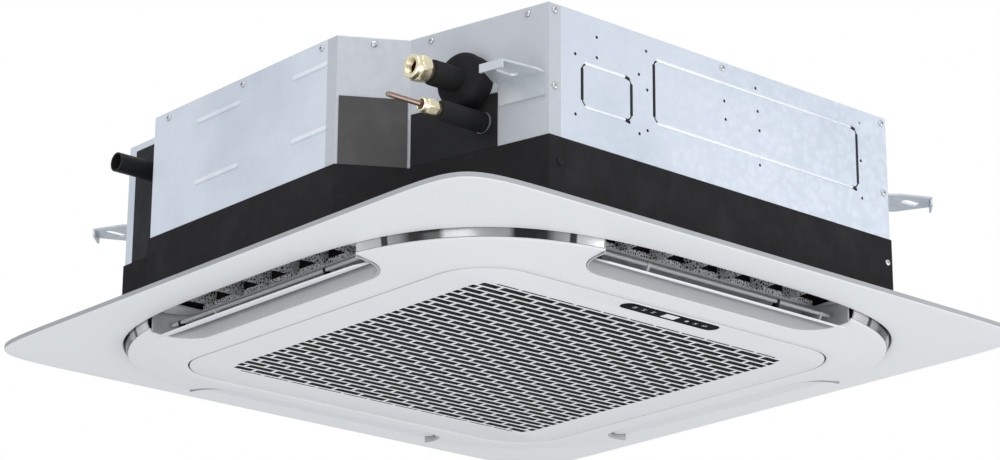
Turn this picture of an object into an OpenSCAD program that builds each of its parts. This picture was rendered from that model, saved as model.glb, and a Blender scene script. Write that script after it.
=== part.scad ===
/* [Casing] */
// Width of the square casing over its sheet metal
casing_w = 840; // [820:5:860]
// Height of the casing top above the ceiling line
casing_h = 250; // [245:1:270]
// Reach along each side of the cut across a plain corner
corner_cut = 157; // [145:1:165]
// Thickness of the sheet metal
sheet_t = 1; // [0.8:0.1:1.4]
// Width of the corner plates' returns along the flat sides
corner_return = 18; // [14:1:22]
// Depth of the top plate's turned-down flange
top_flange = 16; // [10:1:20]
// Thickness of the foam that lines the walls and the roof
lining_t = 9; // [6:1:10]
// Head radius of the casing screws
screw_head_r = 4; // [3:0.5:5]
// Radius of the small holes punched in the front plate
punch_r = 2; // [1.5:0.25:3]
// Width of the slits round the knock-outs
slit_w = 2; // [1:0.25:3]

/* [Pipe corner] */
// Distance of the notch from the left side, along the front
notch_front = 116; // [110:1:122]
// Distance of the notch from the front side, along the left
notch_side = 239; // [230:1:250]
// Depth of the notch's inner edge from the left side
notch_in = 74; // [68:1:80]
// Distance of the notch's inner edge from the front side
notch_back = 194; // [188:1:200]
// Distance of the gas pipe from the front side
gas_in = 108; // [105:1:112]
// Height of the gas pipe above the ceiling line
gas_z = 174; // [170:1:178]
// Outer diameter of the gas pipe
gas_d = 15.88; // [12.7:0.01:15.88]
// Width across the flats of the gas flare nut
gas_nut_w = 29; // [26:1:30]
// Outer diameter of the foam sleeve on the gas pipe
gas_sleeve_d = 30; // [28:1:32]
// Distance of the liquid pipe from the front side
liquid_in = 90; // [88:1:92]
// Height of the liquid pipe above the ceiling line
liquid_z = 123; // [120:1:126]
// Outer diameter of the liquid pipe
liquid_d = 9.52; // [8:0.01:9.52]
// Width across the flats of the liquid flare nut
liquid_nut_w = 17; // [16:1:19]
// Outer diameter of the foam sleeve on the liquid pipe
liquid_sleeve_d = 24; // [21:1:26]
// Length of the flare nuts
nut_len = 28; // [24:1:30]
// Length of the capped charging stub on the liquid nut
stub_len = 46; // [30:1:60]
// Outer diameter of the charging stub
stub_d = 6.35; // [5:0.01:6.5]
// Wall of the copper pipes
copper_t = 0.8; // [0.7:0.1:1.2]

/* [Drain corner] */
// How far the drain corner is set in from the left side
drain_recess = 40; // [36:1:44]
// Reach of the drain corner from the back side
drain_side = 231; // [225:1:236]
// Outer diameter of the drain pipe
drain_d = 25; // [22:1:26]
// Distance of the drain pipe from the back side
drain_in = 180; // [175:1:184]
// Distance of the drain pipe below the casing top
drain_drop = 50; // [46:1:56]
// Free length of the drain pipe outside its cover
drain_len = 60; // [50:1:70]

/* [Hanging] */
// Spacing of the hanging slots from left to right
hang_x = 680; // [670:1:690]
// Spacing of the hanging slots from front to back
hang_y = 780; // [775:1:785]
// Height of the hanging brackets above the ceiling line
hang_rise = 165; // [155:1:175]
// Width of a hanging slot
hang_slot_w = 13; // [11:0.5:14]
// Length of a hanging slot
hang_slot_len = 30; // [26:1:32]
// Thickness of the hanging brackets
hang_t = 2.5; // [2:0.25:3]

/* [Drain pan] */
// Height of the foam pan's top above the ceiling line
pan_top = 90; // [86:1:94]
// Height of the foam pan's underside above the ceiling line
pan_base = 10; // [9:0.5:12]
// How far the foam stands proud of the sheet metal
pan_proud = 2; // [0:0.5:3]
// Height of the roof of the well under the pan
well_z = 50; // [46:1:54]
// Half width of the well under the pan
well_half = 316; // [312:1:320]
// Distance of an air passage's inner side from the centre
passage_in = 350; // [349:0.5:352]
// Width of an air passage
passage_w = 54; // [50:1:56]
// Length of an air passage
passage_len = 388; // [380:1:392]
// Length of the air passage beside the pipe corner
short_passage_len = 332; // [310:1:336]
// Height of the trough under the coil
trough_z = 62; // [58:1:66]

/* [Coil] */
// Distance of the coil's middle line from the centre
coil_mid = 300; // [298:1:302]
// Depth of the coil
coil_t = 44; // [36:1:46]
// Bend radius of the coil's middle line
coil_bend = 90; // [80:1:100]
// Gap between the coil and the roof lining
coil_clear = 2; // [1:0.5:8]
// Number of tubes above each other
coil_tubes = 8; // [5:1:10]

/* [Fan] */
// Outer radius of the turbo fan
fan_r = 225; // [215:1:230]
// Inlet radius of the fan's shroud
fan_inlet_r = 157; // [155:1:162]
// Distance of the fan's back disc below the casing top
fan_drop = 28; // [26:1:34]
// Height of the shroud's outer edge above the ceiling line
fan_mouth = 122; // [116:1:128]
// Number of fan blades
fan_blades = 7; // [5:1:9]
// Thickness of the fan's mouldings
fan_t = 2.5; // [2:0.5:3]
// Radius of the motor
motor_r = 60; // [50:1:64]
// Diameter of the motor shaft
shaft_d = 10; // [8:1:12]
// Throat radius of the bell mouth
throat_r = 150; // [146:1:152]
// Radius of the round opening in the pan
pan_hole_r = 228; // [224:1:232]

/* [Panel] */
// Width of the square panel
panel_w = 950; // [940:5:970]
// Height of the panel's outer edge
rim_h = 6.5; // [5:0.5:8]
// Width of the panel's frame from its edge to its lip
lip_in = 55; // [53:0.5:57]
// Depth of the lip below the ceiling line
lip_z = 10; // [9:0.5:12]
// Thickness of the panel's mouldings
panel_t = 2.5; // [2:0.25:3]
// Depth of the island's outer edge below the ceiling line
island_edge_z = 21; // [20:0.5:23]
// Depth of the grille's face below the ceiling line
face_z = 31; // [29:0.5:33]
// Gap between the lip and the corner trims
trim_gap = 1.5; // [1:0.25:2]

/* [Outlets] */
// Length of the cut-out for each louver
outlet_len = 408; // [402:1:412]
// Distance of the cut-out's inner edge from the panel's lip
outlet_w = 75; // [73:0.5:77]
// Corner radius of the cut-out
outlet_r = 45; // [40:1:50]
// Distance of the louver's pivot from the panel's lip
pivot_in = 47; // [46:0.5:48]
// Depth of the louver's pivot below the ceiling line
pivot_z = 10; // [9.5:0.5:11]
// Diameter of the louver's pivot shaft
pivot_d = 5; // [4:0.5:6]
// Thickness of a louver blade
blade_t = 2.4; // [2:0.2:3]
// Angle by which the front and left louvers stand open at rest
rest_open = 35; // [15:0.5:40]
// Number of fixed vanes in each outlet
vane_count = 6; // [4:1:6]
// Pitch of the fixed vanes
vane_pitch = 56; // [50:1:58]
// Height of the fixed vanes
vane_h = 36; // [24:1:44]
// Diameter of the louver motors
swing_d = 20; // [18:1:20]

/* [Grille] */
// Distance of the grille's edge from the panel's lip
grille_in = 114; // [112:0.5:116]
// Corner radius of the intake grille
grille_r = 71; // [60:1:80]
// Gap round the intake grille
grille_gap = 2; // [1.75:0.25:2.25]
// Distance of the slotted field's edge from the grille's edge
field_in = 54; // [50:1:60]
// Corner radius of the slotted field
field_r = 20; // [8:1:30]
// Pitch of the slots along a row
slot_pitch = 43.6; // [36:0.1:52]
// Width of the bars between slots in a row
slot_bar = 4; // [3:0.5:8]
// Pitch of the rows
row_pitch = 14.1; // [13:0.1:24]
// Width of the bars between rows
row_bar = 3.1; // [3:0.1:6]
// Depth of the bars
bar_h = 6; // [4:0.5:7]
// Length of the display window
display_len = 158; // [120:1:170]
// Width of the display window
display_w = 22; // [16:1:24]
// Distance of the window's middle from the grille's front edge
display_in = 15.5; // [14:0.5:16]
// Distance of the window's middle from the grille's middle, to the right
display_right = 8.5; // [0:0.5:20]
// Diameter of the grille's hinge pins
hinge_d = 4; // [3:0.5:5]

/* [Fits] */
// Running clearance of shafts and pins, on the radius
run_fit = 0.05; // [0.02:0.01:0.08]
// Gap between pieces that seat against each other
seat_gap = 0.2; // [0.1:0.05:0.3]

/* [Hidden] */
$fn = 48;

// How far a cut runs past what it cuts
overrun = 1;

// Corner points of the casing, seen from above, anticlockwise from the pipe corner
half_w = casing_w / 2;
lip_half = panel_w / 2 - lip_in;
outlet_in = lip_half - outlet_w;
pivot_out = lip_half - pivot_in;
grille_half = lip_half - grille_in;
field_half = grille_half - field_in;
casing_outline = [
    [-half_w + notch_front, -half_w],
    [half_w - corner_cut, -half_w],
    [half_w, -half_w + corner_cut],
    [half_w, half_w - corner_cut],
    [half_w - corner_cut, half_w],
    [-half_w + corner_cut, half_w],
    [-half_w + drain_recess, half_w - corner_cut + drain_recess],
    [-half_w + drain_recess, half_w - drain_side],
    [-half_w, half_w - drain_side],
    [-half_w, -half_w + notch_side],
    [-half_w + notch_in, -half_w + notch_back]
];
FRONT = 0;
RIGHT = 2;
BACK = 4;
DRAIN_CHAMFER = 5;
DRAIN_FACE = 6;
LEFT = 8;
PIPE_SIDE = 9;
PIPE_FACE = 10;

function unit(v) = v / norm(v);
function left_of(v) = [-v.y, v.x];
function reversed(list) = [for (i = [len(list) - 1 : -1 : 0]) list[i]];
function between(a, b, share) = a + (b - a) * share;

// The corner at b between a and c, moved to the left by d
function mitre(a, b, c, d) =
    let (n1 = left_of(unit(b - a)), n2 = left_of(unit(c - b)))
    b + (n1 + n2) * d / (1 + n1 * n2);

// A closed outline moved inwards by d
function inset(points, d) =
    let (n = len(points))
    [for (i = [0 : n - 1]) mitre(points[(i + n - 1) % n], points[i], points[(i + 1) % n], d)];

// An open run moved to its left by d
function inset_run(points, d) =
    let (n = len(points))
    [for (i = [0 : n - 1])
        i == 0 ? points[0] + d * left_of(unit(points[1] - points[0]))
        : i == n - 1 ? points[i] + d * left_of(unit(points[i] - points[i - 1]))
        : mitre(points[i - 1], points[i], points[i + 1], d)];

function edge_start(i) = casing_outline[i];
function edge_end(i) = casing_outline[(i + 1) % len(casing_outline)];
function edge_length(i) = norm(edge_end(i) - edge_start(i));
// A point on a casing side, a given distance from that side's first corner
function along_edge(i, distance) =
    edge_start(i) + distance * unit(edge_end(i) - edge_start(i));

// Puts children on a casing side: X along the side, Y up, Z outwards
module on_edge(i, distance, z) {
    run = edge_end(i) - edge_start(i);
    spot = along_edge(i, distance);
    translate([spot.x, spot.y, z])
        rotate([90, 0, atan2(run.y, run.x)])
        children();
}

// Pieces are drawn with the ceiling line at zero
module placed(tint) {
    color(tint) up(-hang_rise) children();
}

// Turns children from the front side to side k
module at_side(k) {
    rotate([0, 0, 90 * k]) children();
}

module up(z) {
    translate([0, 0, z]) children();
}

// Lays an upright shape along X
module lie() {
    rotate([0, 90, 0]) children();
}

module block(low, high) {
    translate(low) cube(high - low);
}

module rounded_rectangle(w, h, r) {
    square([w, h - 2 * r], center = true);
    square([w - 2 * r, h], center = true);
    for (x = [-1, 1], y = [-1, 1])
        translate([x * (w / 2 - r), y * (h / 2 - r)]) circle(r);
}

module rounded_prism(half, r, low, high) {
    up(low) linear_extrude(high - low) rounded_rectangle(2 * half, 2 * half, r);
}

module tube(r, t, length) {
    difference() {
        cylinder(r = r, h = length);
        up(-overrun) cylinder(r = r - t, h = length + 2 * overrun);
    }
}

// Superellipses sampled more closely at the corners
quarter_steps = 16;
crowd_power = 0.6;
loft_angles = [
    for (q = [0 : 3], i = [0 : quarter_steps - 1])
        let (s = 2 * i / quarter_steps - 1)
        90 * q + 45 + 45 * s * pow(abs(s), crowd_power)
];
function reach(half, power, a) =
    half / pow(pow(abs(cos(a)), power) + pow(abs(sin(a)), power), 1 / power);
function outline_at(half, power, angles) =
    [for (a = angles) reach(half, power, a) * [cos(a), sin(a)]];
function ring_at(half, power, z) =
    [for (p = outline_at(half, power, loft_angles)) [p.x, p.y, z]];

// A closed band through rings of equal length
module ring_loft(rings) {
    n = len(rings[0]);
    m = len(rings);
    polyhedron(
        points = [for (ring = rings) each ring],
        faces = [
            for (j = [0 : m - 1], i = [0 : n - 1])
                let (a = j * n + i, b = j * n + (i + 1) % n,
                     c = ((j + 1) % m) * n + i, d = ((j + 1) % m) * n + (i + 1) % n)
                each [[a, c, b], [b, c, d]]
        ]);
}

// A closed strip through sections of equal length
module strip_loft(sections) {
    m = len(sections[0]);
    n = len(sections);
    polyhedron(
        points = [for (s = sections) each s],
        faces = concat(
            [[for (j = [0 : m - 1]) j]],
            [for (i = [0 : n - 2], j = [0 : m - 1])
                let (a = i * m + j, b = i * m + (j + 1) % m)
                each [[a, a + m, b], [b, a + m, b + m]]],
            [[for (j = [m - 1 : -1 : 0]) (n - 1) * m + j]]));
}

rim_power = 17;
lip_power = 3.5;
opening_power = 9;

/* Sheet metal */

module sheet_run(points, low, high, t = sheet_t) {
    up(low)
        linear_extrude(high - low)
        polygon(concat(points, reversed(inset_run(points, t))));
}

wall_low = pan_top;
wall_high = casing_h - sheet_t;
// Depth of the top plate's pressed rings
top_press = 2;
roof_low = casing_h - sheet_t - top_press - lining_t;
coil_top = roof_low - coil_clear;
fan_top = casing_h - fan_drop;
drain_z = casing_h - drain_drop;

// The casing wall between spots on sides i and j
function wall_points(i, from, j, to) = concat(
    [along_edge(i, from)],
    [for (k = [i + 1 : j]) edge_start(k % len(casing_outline))],
    [along_edge(j % len(casing_outline), to)]);

knockout_r = 10;

// The slits round a knock-out, with its bridges
module knockout_slits(w, h, bridges) {
    bridge_w = 3 * knockout_r;
    difference() {
        knockout_plate(w, h, knockout_r);
        knockout_plate(w - 2 * slit_w, h - 2 * slit_w, knockout_r - slit_w);
        for (i = [1 : bridges])
            translate([w * (2 * i / (bridges + 1) - 1) / 2, 0, 0])
                cube([bridge_w, 2 * h, 3 * overrun], center = true);
        cube([2 * w, slit_w * 3, 3 * overrun], center = true);
    }
}

module knockout_plate(w, h, r) {
    up(-overrun - sheet_t) linear_extrude(2 * overrun + sheet_t)
        rounded_rectangle(w, h, r);
}

// Punched holes: shares of the plate's length and height
punch_shares = [
    [0.13, 0.904], [0.13, 0.804], [0.071, 0.788], [0.071, 0.496], [0.268, 0.92], [0.247, 0.792],
    [0.27, 0.728], [0.27, 0.528], [0.247, 0.5], [0.494, 0.804], [0.497, 0.712], [0.589, 0.924],
    [0.594, 0.808], [0.598, 0.712], [0.597, 0.536], [0.914, 0.932], [0.915, 0.732], [0.915, 0.536]
];
small_knockout_shares = [0.157, 0.652];
large_knockout_shares = [0.596, 0.736];
small_knockout = [79, 54];
large_knockout = [350, 80];

module front_plate() {
    placed("gainsboro") difference() {
        sheet_run(
            wall_points(FRONT, corner_return, FRONT, edge_length(FRONT) - corner_return),
            wall_low, wall_high);
        for (p = punch_shares)
            on_edge(FRONT, p[0] * edge_length(FRONT), p[1] * casing_h)
                cylinder(r = punch_r, h = 4 * overrun, center = true);
        on_edge(FRONT, small_knockout_shares[0] * edge_length(FRONT),
                small_knockout_shares[1] * casing_h)
            knockout_slits(small_knockout.x, small_knockout.y, 1);
        on_edge(FRONT, large_knockout_shares[0] * edge_length(FRONT),
                large_knockout_shares[1] * casing_h)
            knockout_slits(large_knockout.x, large_knockout.y, 3);
    }
}

bead_h = 0.8;
bead_w = 7;
// Pressed beads: shares of the plate's length, and of the height
bead_shares = [
    [0.245, 0.49, 0.88], [0.77, 0.955, 0.88], [0.245, 0.49, 0.56], [0.77, 0.955, 0.56]
];

module bead(length) {
    up(-sheet_t / 2) {
        for (s = [-1, 1])
            translate([s * (length - bead_w) / 2, 0, 0])
                cylinder(d = bead_w, h = bead_h + sheet_t / 2);
        up((bead_h + sheet_t / 2) / 2)
            cube([length - bead_w, bead_w, bead_h + sheet_t / 2], center = true);
    }
}

// The sheet of a plain side, with its pressed beads
module beaded_plate(side) {
    placed("gainsboro") {
        sheet_run(
            wall_points(side, corner_return, side, edge_length(side) - corner_return),
            wall_low, wall_high);
        for (b = bead_shares)
            on_edge(side, (b[0] + b[1]) / 2 * edge_length(side), b[2] * casing_h)
                bead((b[1] - b[0]) * edge_length(side));
    }
}

module right_plate() {
    beaded_plate(RIGHT);
}

module back_plate() {
    beaded_plate(BACK);
}

module left_plate() {
    beaded_plate(LEFT);
}

// Where the pipes cross the slanting face
gas_y = -half_w + gas_in;
liquid_y = -half_w + liquid_in;
function face_x(y) =
    let (a = edge_end(PIPE_FACE), e = edge_start(PIPE_FACE))
    a.x + (e.x - a.x) * (y - a.y) / (e.y - a.y);
pipe_slant = atan2(
    edge_start(PIPE_FACE).x - edge_end(PIPE_FACE).x,
    edge_start(PIPE_FACE).y - edge_end(PIPE_FACE).y);
pipe_hole_gap = 2;

module pipe_corner_plate() {
    placed("gainsboro") difference() {
        sheet_run(
            wall_points(
                LEFT, edge_length(LEFT) - corner_return,
                FRONT + len(casing_outline), corner_return),
            wall_low, wall_high);
        for (p = [[gas_y, gas_z, gas_d], [liquid_y, liquid_z, liquid_d]])
            translate([face_x(p[0]), p[0], p[1]]) lie()
                cylinder(d = p[2] + 2 * pipe_hole_gap, h = casing_w / 20, center = true);
    }
}

module corner_plates() {
    placed("gainsboro") for (i = [FRONT, RIGHT])
        sheet_run(
            wall_points(i, edge_length(i) - corner_return, i + 2, corner_return),
            wall_low, wall_high);
}

drain_y = half_w - drain_in;
// Place of the drain pipe along the drain face
drain_at = edge_start(DRAIN_FACE).y - drain_y;

module drain_corner_plate() {
    placed("gainsboro") difference() {
        sheet_run(
            wall_points(BACK, edge_length(BACK) - corner_return, LEFT, corner_return),
            wall_low, wall_high);
        on_edge(DRAIN_FACE, drain_at, drain_z)
            cylinder(d = drain_d + 2 * pipe_hole_gap, h = 4 * overrun, center = true);
    }
}

// Pressed rings and spokes that stiffen the top
top_ring_share = 0.45;
top_spoke_share = 0.78;

module top_plate() {
    placed("silver") difference() {
        union() {
            up(casing_h - sheet_t)
                linear_extrude(sheet_t) polygon(casing_outline);
            up(casing_h - sheet_t - top_flange)
                linear_extrude(top_flange) difference() {
                    polygon(inset(casing_outline, sheet_t));
                    polygon(inset(casing_outline, 2 * sheet_t));
                }
            difference() {
                up(casing_h - sheet_t - top_press)
                    cylinder(r = top_ring_share * half_w, h = top_press);
                up(casing_h - 2 * sheet_t - top_press)
                    cylinder(r = top_ring_share * half_w - bead_w, h = top_press + sheet_t);
            }
        }
        up(casing_h - top_press)
            tube(top_ring_share * half_w - sheet_t, bead_w - 2 * sheet_t, top_press + overrun);
        for (k = [0 : 3])
            rotate([0, 0, 90 * k + 45])
                translate([top_spoke_share * half_w, -bead_w / 2, casing_h - sheet_t / 2])
                cube([half_w / 4, bead_w, sheet_t]);
        for (k = [0 : 2])
            rotate([0, 0, 120 * k]) translate([motor_r, 0, casing_h - sheet_t - overrun])
                cylinder(r = screw_head_r, h = sheet_t + 2 * overrun);
    }
}

lining_outline = inset(casing_outline, 2 * sheet_t + seat_gap);

module roof_lining() {
    placed("dimgray") difference() {
        up(roof_low)
            linear_extrude(lining_t - seat_gap) polygon(inset(lining_outline, lining_t));
        up(roof_low - overrun)
            cylinder(r = motor_r + lining_t, h = lining_t + 2 * overrun);
    }
}

module wall_lining() {
    placed("dimgray") difference() {
        up(pan_top)
            linear_extrude(casing_h - sheet_t - top_press - pan_top - seat_gap)
            difference() {
                polygon(lining_outline);
                polygon(inset(lining_outline, lining_t - seat_gap));
            }
        for (p = [[gas_y, gas_z, gas_d], [liquid_y, liquid_z, liquid_d]])
            translate([face_x(p[0]), p[0], p[1]]) lie()
                cylinder(d = p[2] + 2 * pipe_hole_gap, h = casing_w / 15, center = true);
        on_edge(DRAIN_FACE, drain_at, drain_z)
            cylinder(d = drain_d + 2 * pipe_hole_gap, h = casing_w / 30, center = true);
    }
}

screw_head_h = 2.2;
// Casing screws: side, share of its length, share of the casing's height
screw_spots = [
    [FRONT, 0.015, 0.968], [FRONT, 0.49, 0.968], [FRONT, 0.985, 0.968], [FRONT, 0.015, 0.6],
    [FRONT, 0.985, 0.6], [LEFT, 0.08, 0.968], [LEFT, 0.5, 0.968], [LEFT, 0.92, 0.968],
    [PIPE_SIDE, 0.5, 0.968], [PIPE_FACE, 0.15, 0.968], [PIPE_FACE, 0.85, 0.968],
    [RIGHT, 0.03, 0.968], [RIGHT, 0.5, 0.968], [RIGHT, 0.97, 0.968], [BACK, 0.03, 0.968],
    [BACK, 0.5, 0.968], [BACK, 0.97, 0.968]
];
// Screws that hold the foam pan, at the same shares
pan_screw_spots = [[FRONT, 0.025, 0.24], [FRONT, 0.985, 0.235], [BACK, 0.03, 0.24], [BACK, 0.97, 0.24]];

module screw_head() {
    cylinder(r = screw_head_r, h = screw_head_h / 2);
    cylinder(r = screw_head_r * 0.75, h = screw_head_h);
}

module casing_screws() {
    placed("silver") {
        for (s = screw_spots)
            on_edge(s[0], s[1] * edge_length(s[0]), s[2] * casing_h) screw_head();
        for (s = pan_screw_spots)
            on_edge(s[0], s[1] * edge_length(s[0]), s[2] * casing_h)
                up(pan_proud) screw_head();
    }
}

/* Hanging brackets */

hang_flange = 26;
hang_plate_w = 64;
hang_reach = 60;
hang_lip = 9;

// A bracket on casing side i: a flange and a shelf with a slot
module hanger(i, point) {
    run = unit(edge_end(i) - edge_start(i));
    from_start = point - edge_start(i);
    foot = from_start * run;
    out = [run.y, -run.x] * from_start;
    slant = atan2(run.y, run.x);
    on_edge(i, foot, hang_rise) {
        translate([-hang_plate_w / 2, -hang_t / 2 - hang_flange, 0])
            cube([hang_plate_w, hang_flange + hang_t, hang_t]);
        difference() {
            rotate([90, 0, 0]) up(-hang_t / 2) linear_extrude(hang_t)
                polygon([
                    [-hang_plate_w / 2, 0], [hang_plate_w / 2, 0],
                    [hang_plate_w / 2, out / 2], [hang_plate_w / 4, hang_reach],
                    [-hang_plate_w / 4, hang_reach], [-hang_plate_w / 2, out / 2]
                ] );
            up(out) rotate([90, -slant, 0]) hang_slot();
        }
        translate([-hang_plate_w / 4, -hang_lip, hang_reach - hang_t])
            cube([hang_plate_w / 2, hang_lip, hang_t]);
    }
}

module hang_slot() {
    for (s = [-1, 1])
        translate([s * (hang_slot_len - hang_slot_w) / 2, 0, 0])
            cylinder(d = hang_slot_w, h = 4 * hang_t, center = true);
    cube([hang_slot_len - hang_slot_w, hang_slot_w, 4 * hang_t], center = true);
}

module hangers() {
    placed("lightgray") {
        hanger(PIPE_FACE, [-hang_x, -hang_y] / 2);
        hanger(FRONT + 1, [hang_x, -hang_y] / 2);
        hanger(RIGHT + 1, [hang_x, hang_y] / 2);
        hanger(DRAIN_CHAMFER, [-hang_x, hang_y] / 2);
    }
}

/* Drain pan and what stands in it */

// Half length of the air passage on side k
function passage_half(k) = (k == 3 ? short_passage_len : passage_len) / 2;

module passages(inner, low, high) {
    for (k = [0 : 3]) at_side(k)
        block([-passage_half(k), -passage_in - passage_w, low], [passage_half(k), -inner, high]);
}

coil_out = coil_mid + coil_t / 2;
coil_inner = coil_mid - coil_t / 2;
trough_gap = 5;
sump = [-half_w + corner_cut * 0.7, half_w - corner_cut * 0.7];
float_at = [-half_w + corner_cut * 0.46, half_w - corner_cut];
pump_r = 26;
sump_r = 36;
bolt_spot = 322;
bolt_d = 8;

module drain_pan() {
    placed([0.13, 0.13, 0.13]) difference() {
        up(pan_base)
            linear_extrude(pan_top - pan_base) polygon(inset(casing_outline, -pan_proud));
        rounded_prism(well_half, grille_r, pan_base - overrun, well_z);
        cylinder(r = pan_hole_r, h = pan_top + overrun);
        passages(passage_in, pan_base - overrun, pan_top + overrun);
        difference() {
            rounded_prism(coil_out + trough_gap, coil_bend, trough_z, pan_top + overrun);
            rounded_prism(
                coil_inner - trough_gap, coil_bend - coil_t / 2 - trough_gap,
                trough_z - overrun, pan_top + 2 * overrun);
        }
        translate([sump.x, sump.y, trough_z])
            cylinder(r = sump_r, h = pan_top);
        translate([float_at.x, float_at.y, trough_z])
            cylinder(r = sump_r / 2, h = pan_top);
        block([float_at.x, coil_mid - sump_r, trough_z],
              [-coil_mid + trough_gap, float_at.y, pan_top + overrun]);
        for (x = [-1, 1], y = [-1, 1])
            translate([x * bolt_spot, y * bolt_spot, pan_base - overrun])
                cylinder(d = bolt_d + 2 * seat_gap, h = (pan_top - pan_base) / 3);
    }
}

coil_low = trough_z;
// Room for the pipes beside the coil's first end
coil_start_gap = 16;
coil_start = -coil_mid + coil_t / 2 + coil_start_gap;
coil_end = -half_w + notch_back + trough_gap * 2;

module coil_leg(from, to) {
    block([from, -coil_out, coil_low], [to, -coil_inner, coil_top]);
}

module coil() {
    straight = coil_mid - coil_bend;
    placed("darkgray") {
        coil_leg(coil_start, straight);
        at_side(1) coil_leg(-straight, straight);
        at_side(2) coil_leg(-straight, straight);
        at_side(3) coil_leg(-straight, -coil_end);
        for (k = [0 : 2]) at_side(k)
            translate([straight, -straight, coil_low]) rotate([0, 0, -90])
                rotate_extrude(angle = 90)
                translate([coil_bend - coil_t / 2, 0]) square([coil_t, coil_top - coil_low]);
    }
}

coil_end_t = 1.5;
coil_end_margin = 1;

module coil_end_plate() {
    block([-coil_end_t, -coil_out - coil_end_margin, coil_low],
          [0, -coil_inner + coil_end_margin, coil_top]);
}

module coil_ends() {
    placed("lightgray") {
        translate([coil_start, 0, 0]) coil_end_plate();
        at_side(3) translate([-coil_end + coil_end_t, 0, 0]) coil_end_plate();
        // Sheet that closes the gap between the two coil ends
        sheet_run([
            [coil_start - coil_end_t, -coil_inner + coil_end_margin],
            [-coil_inner + coil_end_margin, coil_end - coil_end_t]], coil_low, coil_top, coil_end_t);
    }
}

header_r = gas_d / 2;
header_x = coil_start - 2.2 * gas_d;
header_low = pan_top + header_r / 2;
tube_r = 4;
tube_pitch = (coil_top - coil_low) / coil_tubes;

// A hairpin end joining two tubes above each other
module return_bend() {
    rotate([90, 0, 0]) rotate([0, 0, 90]) rotate_extrude(angle = 180)
        translate([tube_pitch / 2, 0]) circle(tube_r);
}

module coil_pipes() {
    placed("peru") {
        for (i = [0 : 2 : coil_tubes - 2]) {
            translate([coil_start - coil_end_t, -coil_mid + coil_t / 4, coil_low + tube_pitch * (i + 1)])
                return_bend();
            at_side(3) mirror([1, 0, 0])
                translate([coil_end - coil_end_t, -coil_mid, coil_low + tube_pitch * (i + 1)])
                return_bend();
        }
        difference() {
            translate([header_x, gas_y, header_low])
                cylinder(r = header_r, h = coil_top - tube_pitch / 2 - header_low);
            translate([header_x, gas_y, gas_z]) rotate([0, -90, 0])
                cylinder(d = gas_d, h = gas_d);
        }
        for (i = [1 : coil_tubes / 2 - 1])
            translate([header_x + header_r / 2, gas_y, coil_low + 2 * tube_pitch * i])
                lie()
                cylinder(r = tube_r, h = coil_start - coil_end_t - header_x - header_r / 2);
        translate([header_x + liquid_d, liquid_y, pan_top + liquid_d])
            cylinder(r = liquid_d, h = liquid_z - pan_top);
    }
}

pipe_end_in = 4;
pipe_end = -half_w + pipe_end_in;
flare = 1.5;

module gas_pipe() {
    placed("peru") translate([pipe_end + nut_len / 4, gas_y, gas_z]) lie()
        tube(gas_d / 2, copper_t, header_x - header_r / 2 - pipe_end - nut_len / 4);
}

// A flare nut: hexagon with a collar, bored for its pipe
module flare_nut(across, bore_d) {
    collar = nut_len / 4;
    difference() {
        union() {
            cylinder(d = across, h = nut_len);
            up(collar)
                cylinder(d = across / cos(30), h = nut_len - 2 * collar, $fn = 6);
        }
        up(-overrun) cylinder(d = bore_d + 2 * run_fit, h = nut_len + 2 * overrun);
        up(-overrun)
            cylinder(d = bore_d + 2 * flare, h = collar + overrun);
    }
}

module gas_nut() {
    placed("goldenrod") translate([pipe_end, gas_y, gas_z]) lie()
        flare_nut(gas_nut_w, gas_d);
}

module liquid_pipe() {
    placed("peru") translate([pipe_end, liquid_y, liquid_z]) lie() {
        tube(liquid_d / 2, copper_t, header_x - pipe_end);
        cylinder(d = liquid_d, h = 2 * copper_t);
        up(-stub_len) cylinder(d = stub_d, h = stub_len + copper_t);
        up(-stub_len) sphere(d = stub_d);
    }
}

module liquid_nut() {
    placed("goldenrod") translate([pipe_end, liquid_y, liquid_z]) lie()
        flare_nut(liquid_nut_w, liquid_d);
}

grommet_r = 33;
grommet_t = 24;

// A foam sleeve from its nut to the slanting face
module sleeve(y, z, d) {
    translate([0, y, z]) difference() {
        translate([pipe_end + nut_len + seat_gap, 0, 0]) lie()
            cylinder(d = d, h = face_x(y) + grommet_r - pipe_end - nut_len);
        translate([face_x(y), 0, 0]) rotate([0, 0, -pipe_slant])
            translate([-seat_gap, -grommet_r * 2, -grommet_r * 2])
            cube([half_w, grommet_r * 4, grommet_r * 4]);
    }
}

module pipe_insulation() {
    placed([0.1, 0.1, 0.1]) {
        difference() {
            union() {
                sleeve(gas_y, gas_z, gas_sleeve_d);
                sleeve(liquid_y, liquid_z, liquid_sleeve_d);
                translate([face_x(gas_y), gas_y, gas_z]) rotate([0, 0, -pipe_slant]) rotate([0, -90, 0])
                    up(seat_gap) cylinder(r = grommet_r, h = grommet_t);
            }
            for (p = [[gas_y, gas_z, gas_d], [liquid_y, liquid_z, liquid_d]])
                translate([pipe_end, p[0], p[1]]) lie()
                    cylinder(d = p[2] + 2 * seat_gap, h = half_w);
        }
    }
}

cover_t = 2;
pipe_cover_high = 155;
side_cover_high = 174;
drain_cover_high = casing_h - drain_drop / 5;
cover_gap = 1;

// A flat cover on casing side i
module cover(i, from, to, high) {
    on_edge(i, from, pan_top + seat_gap)
        up(seat_gap) cube([to - from, high - pan_top, cover_t]);
}

pipe_cover_share = 0.64;

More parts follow.
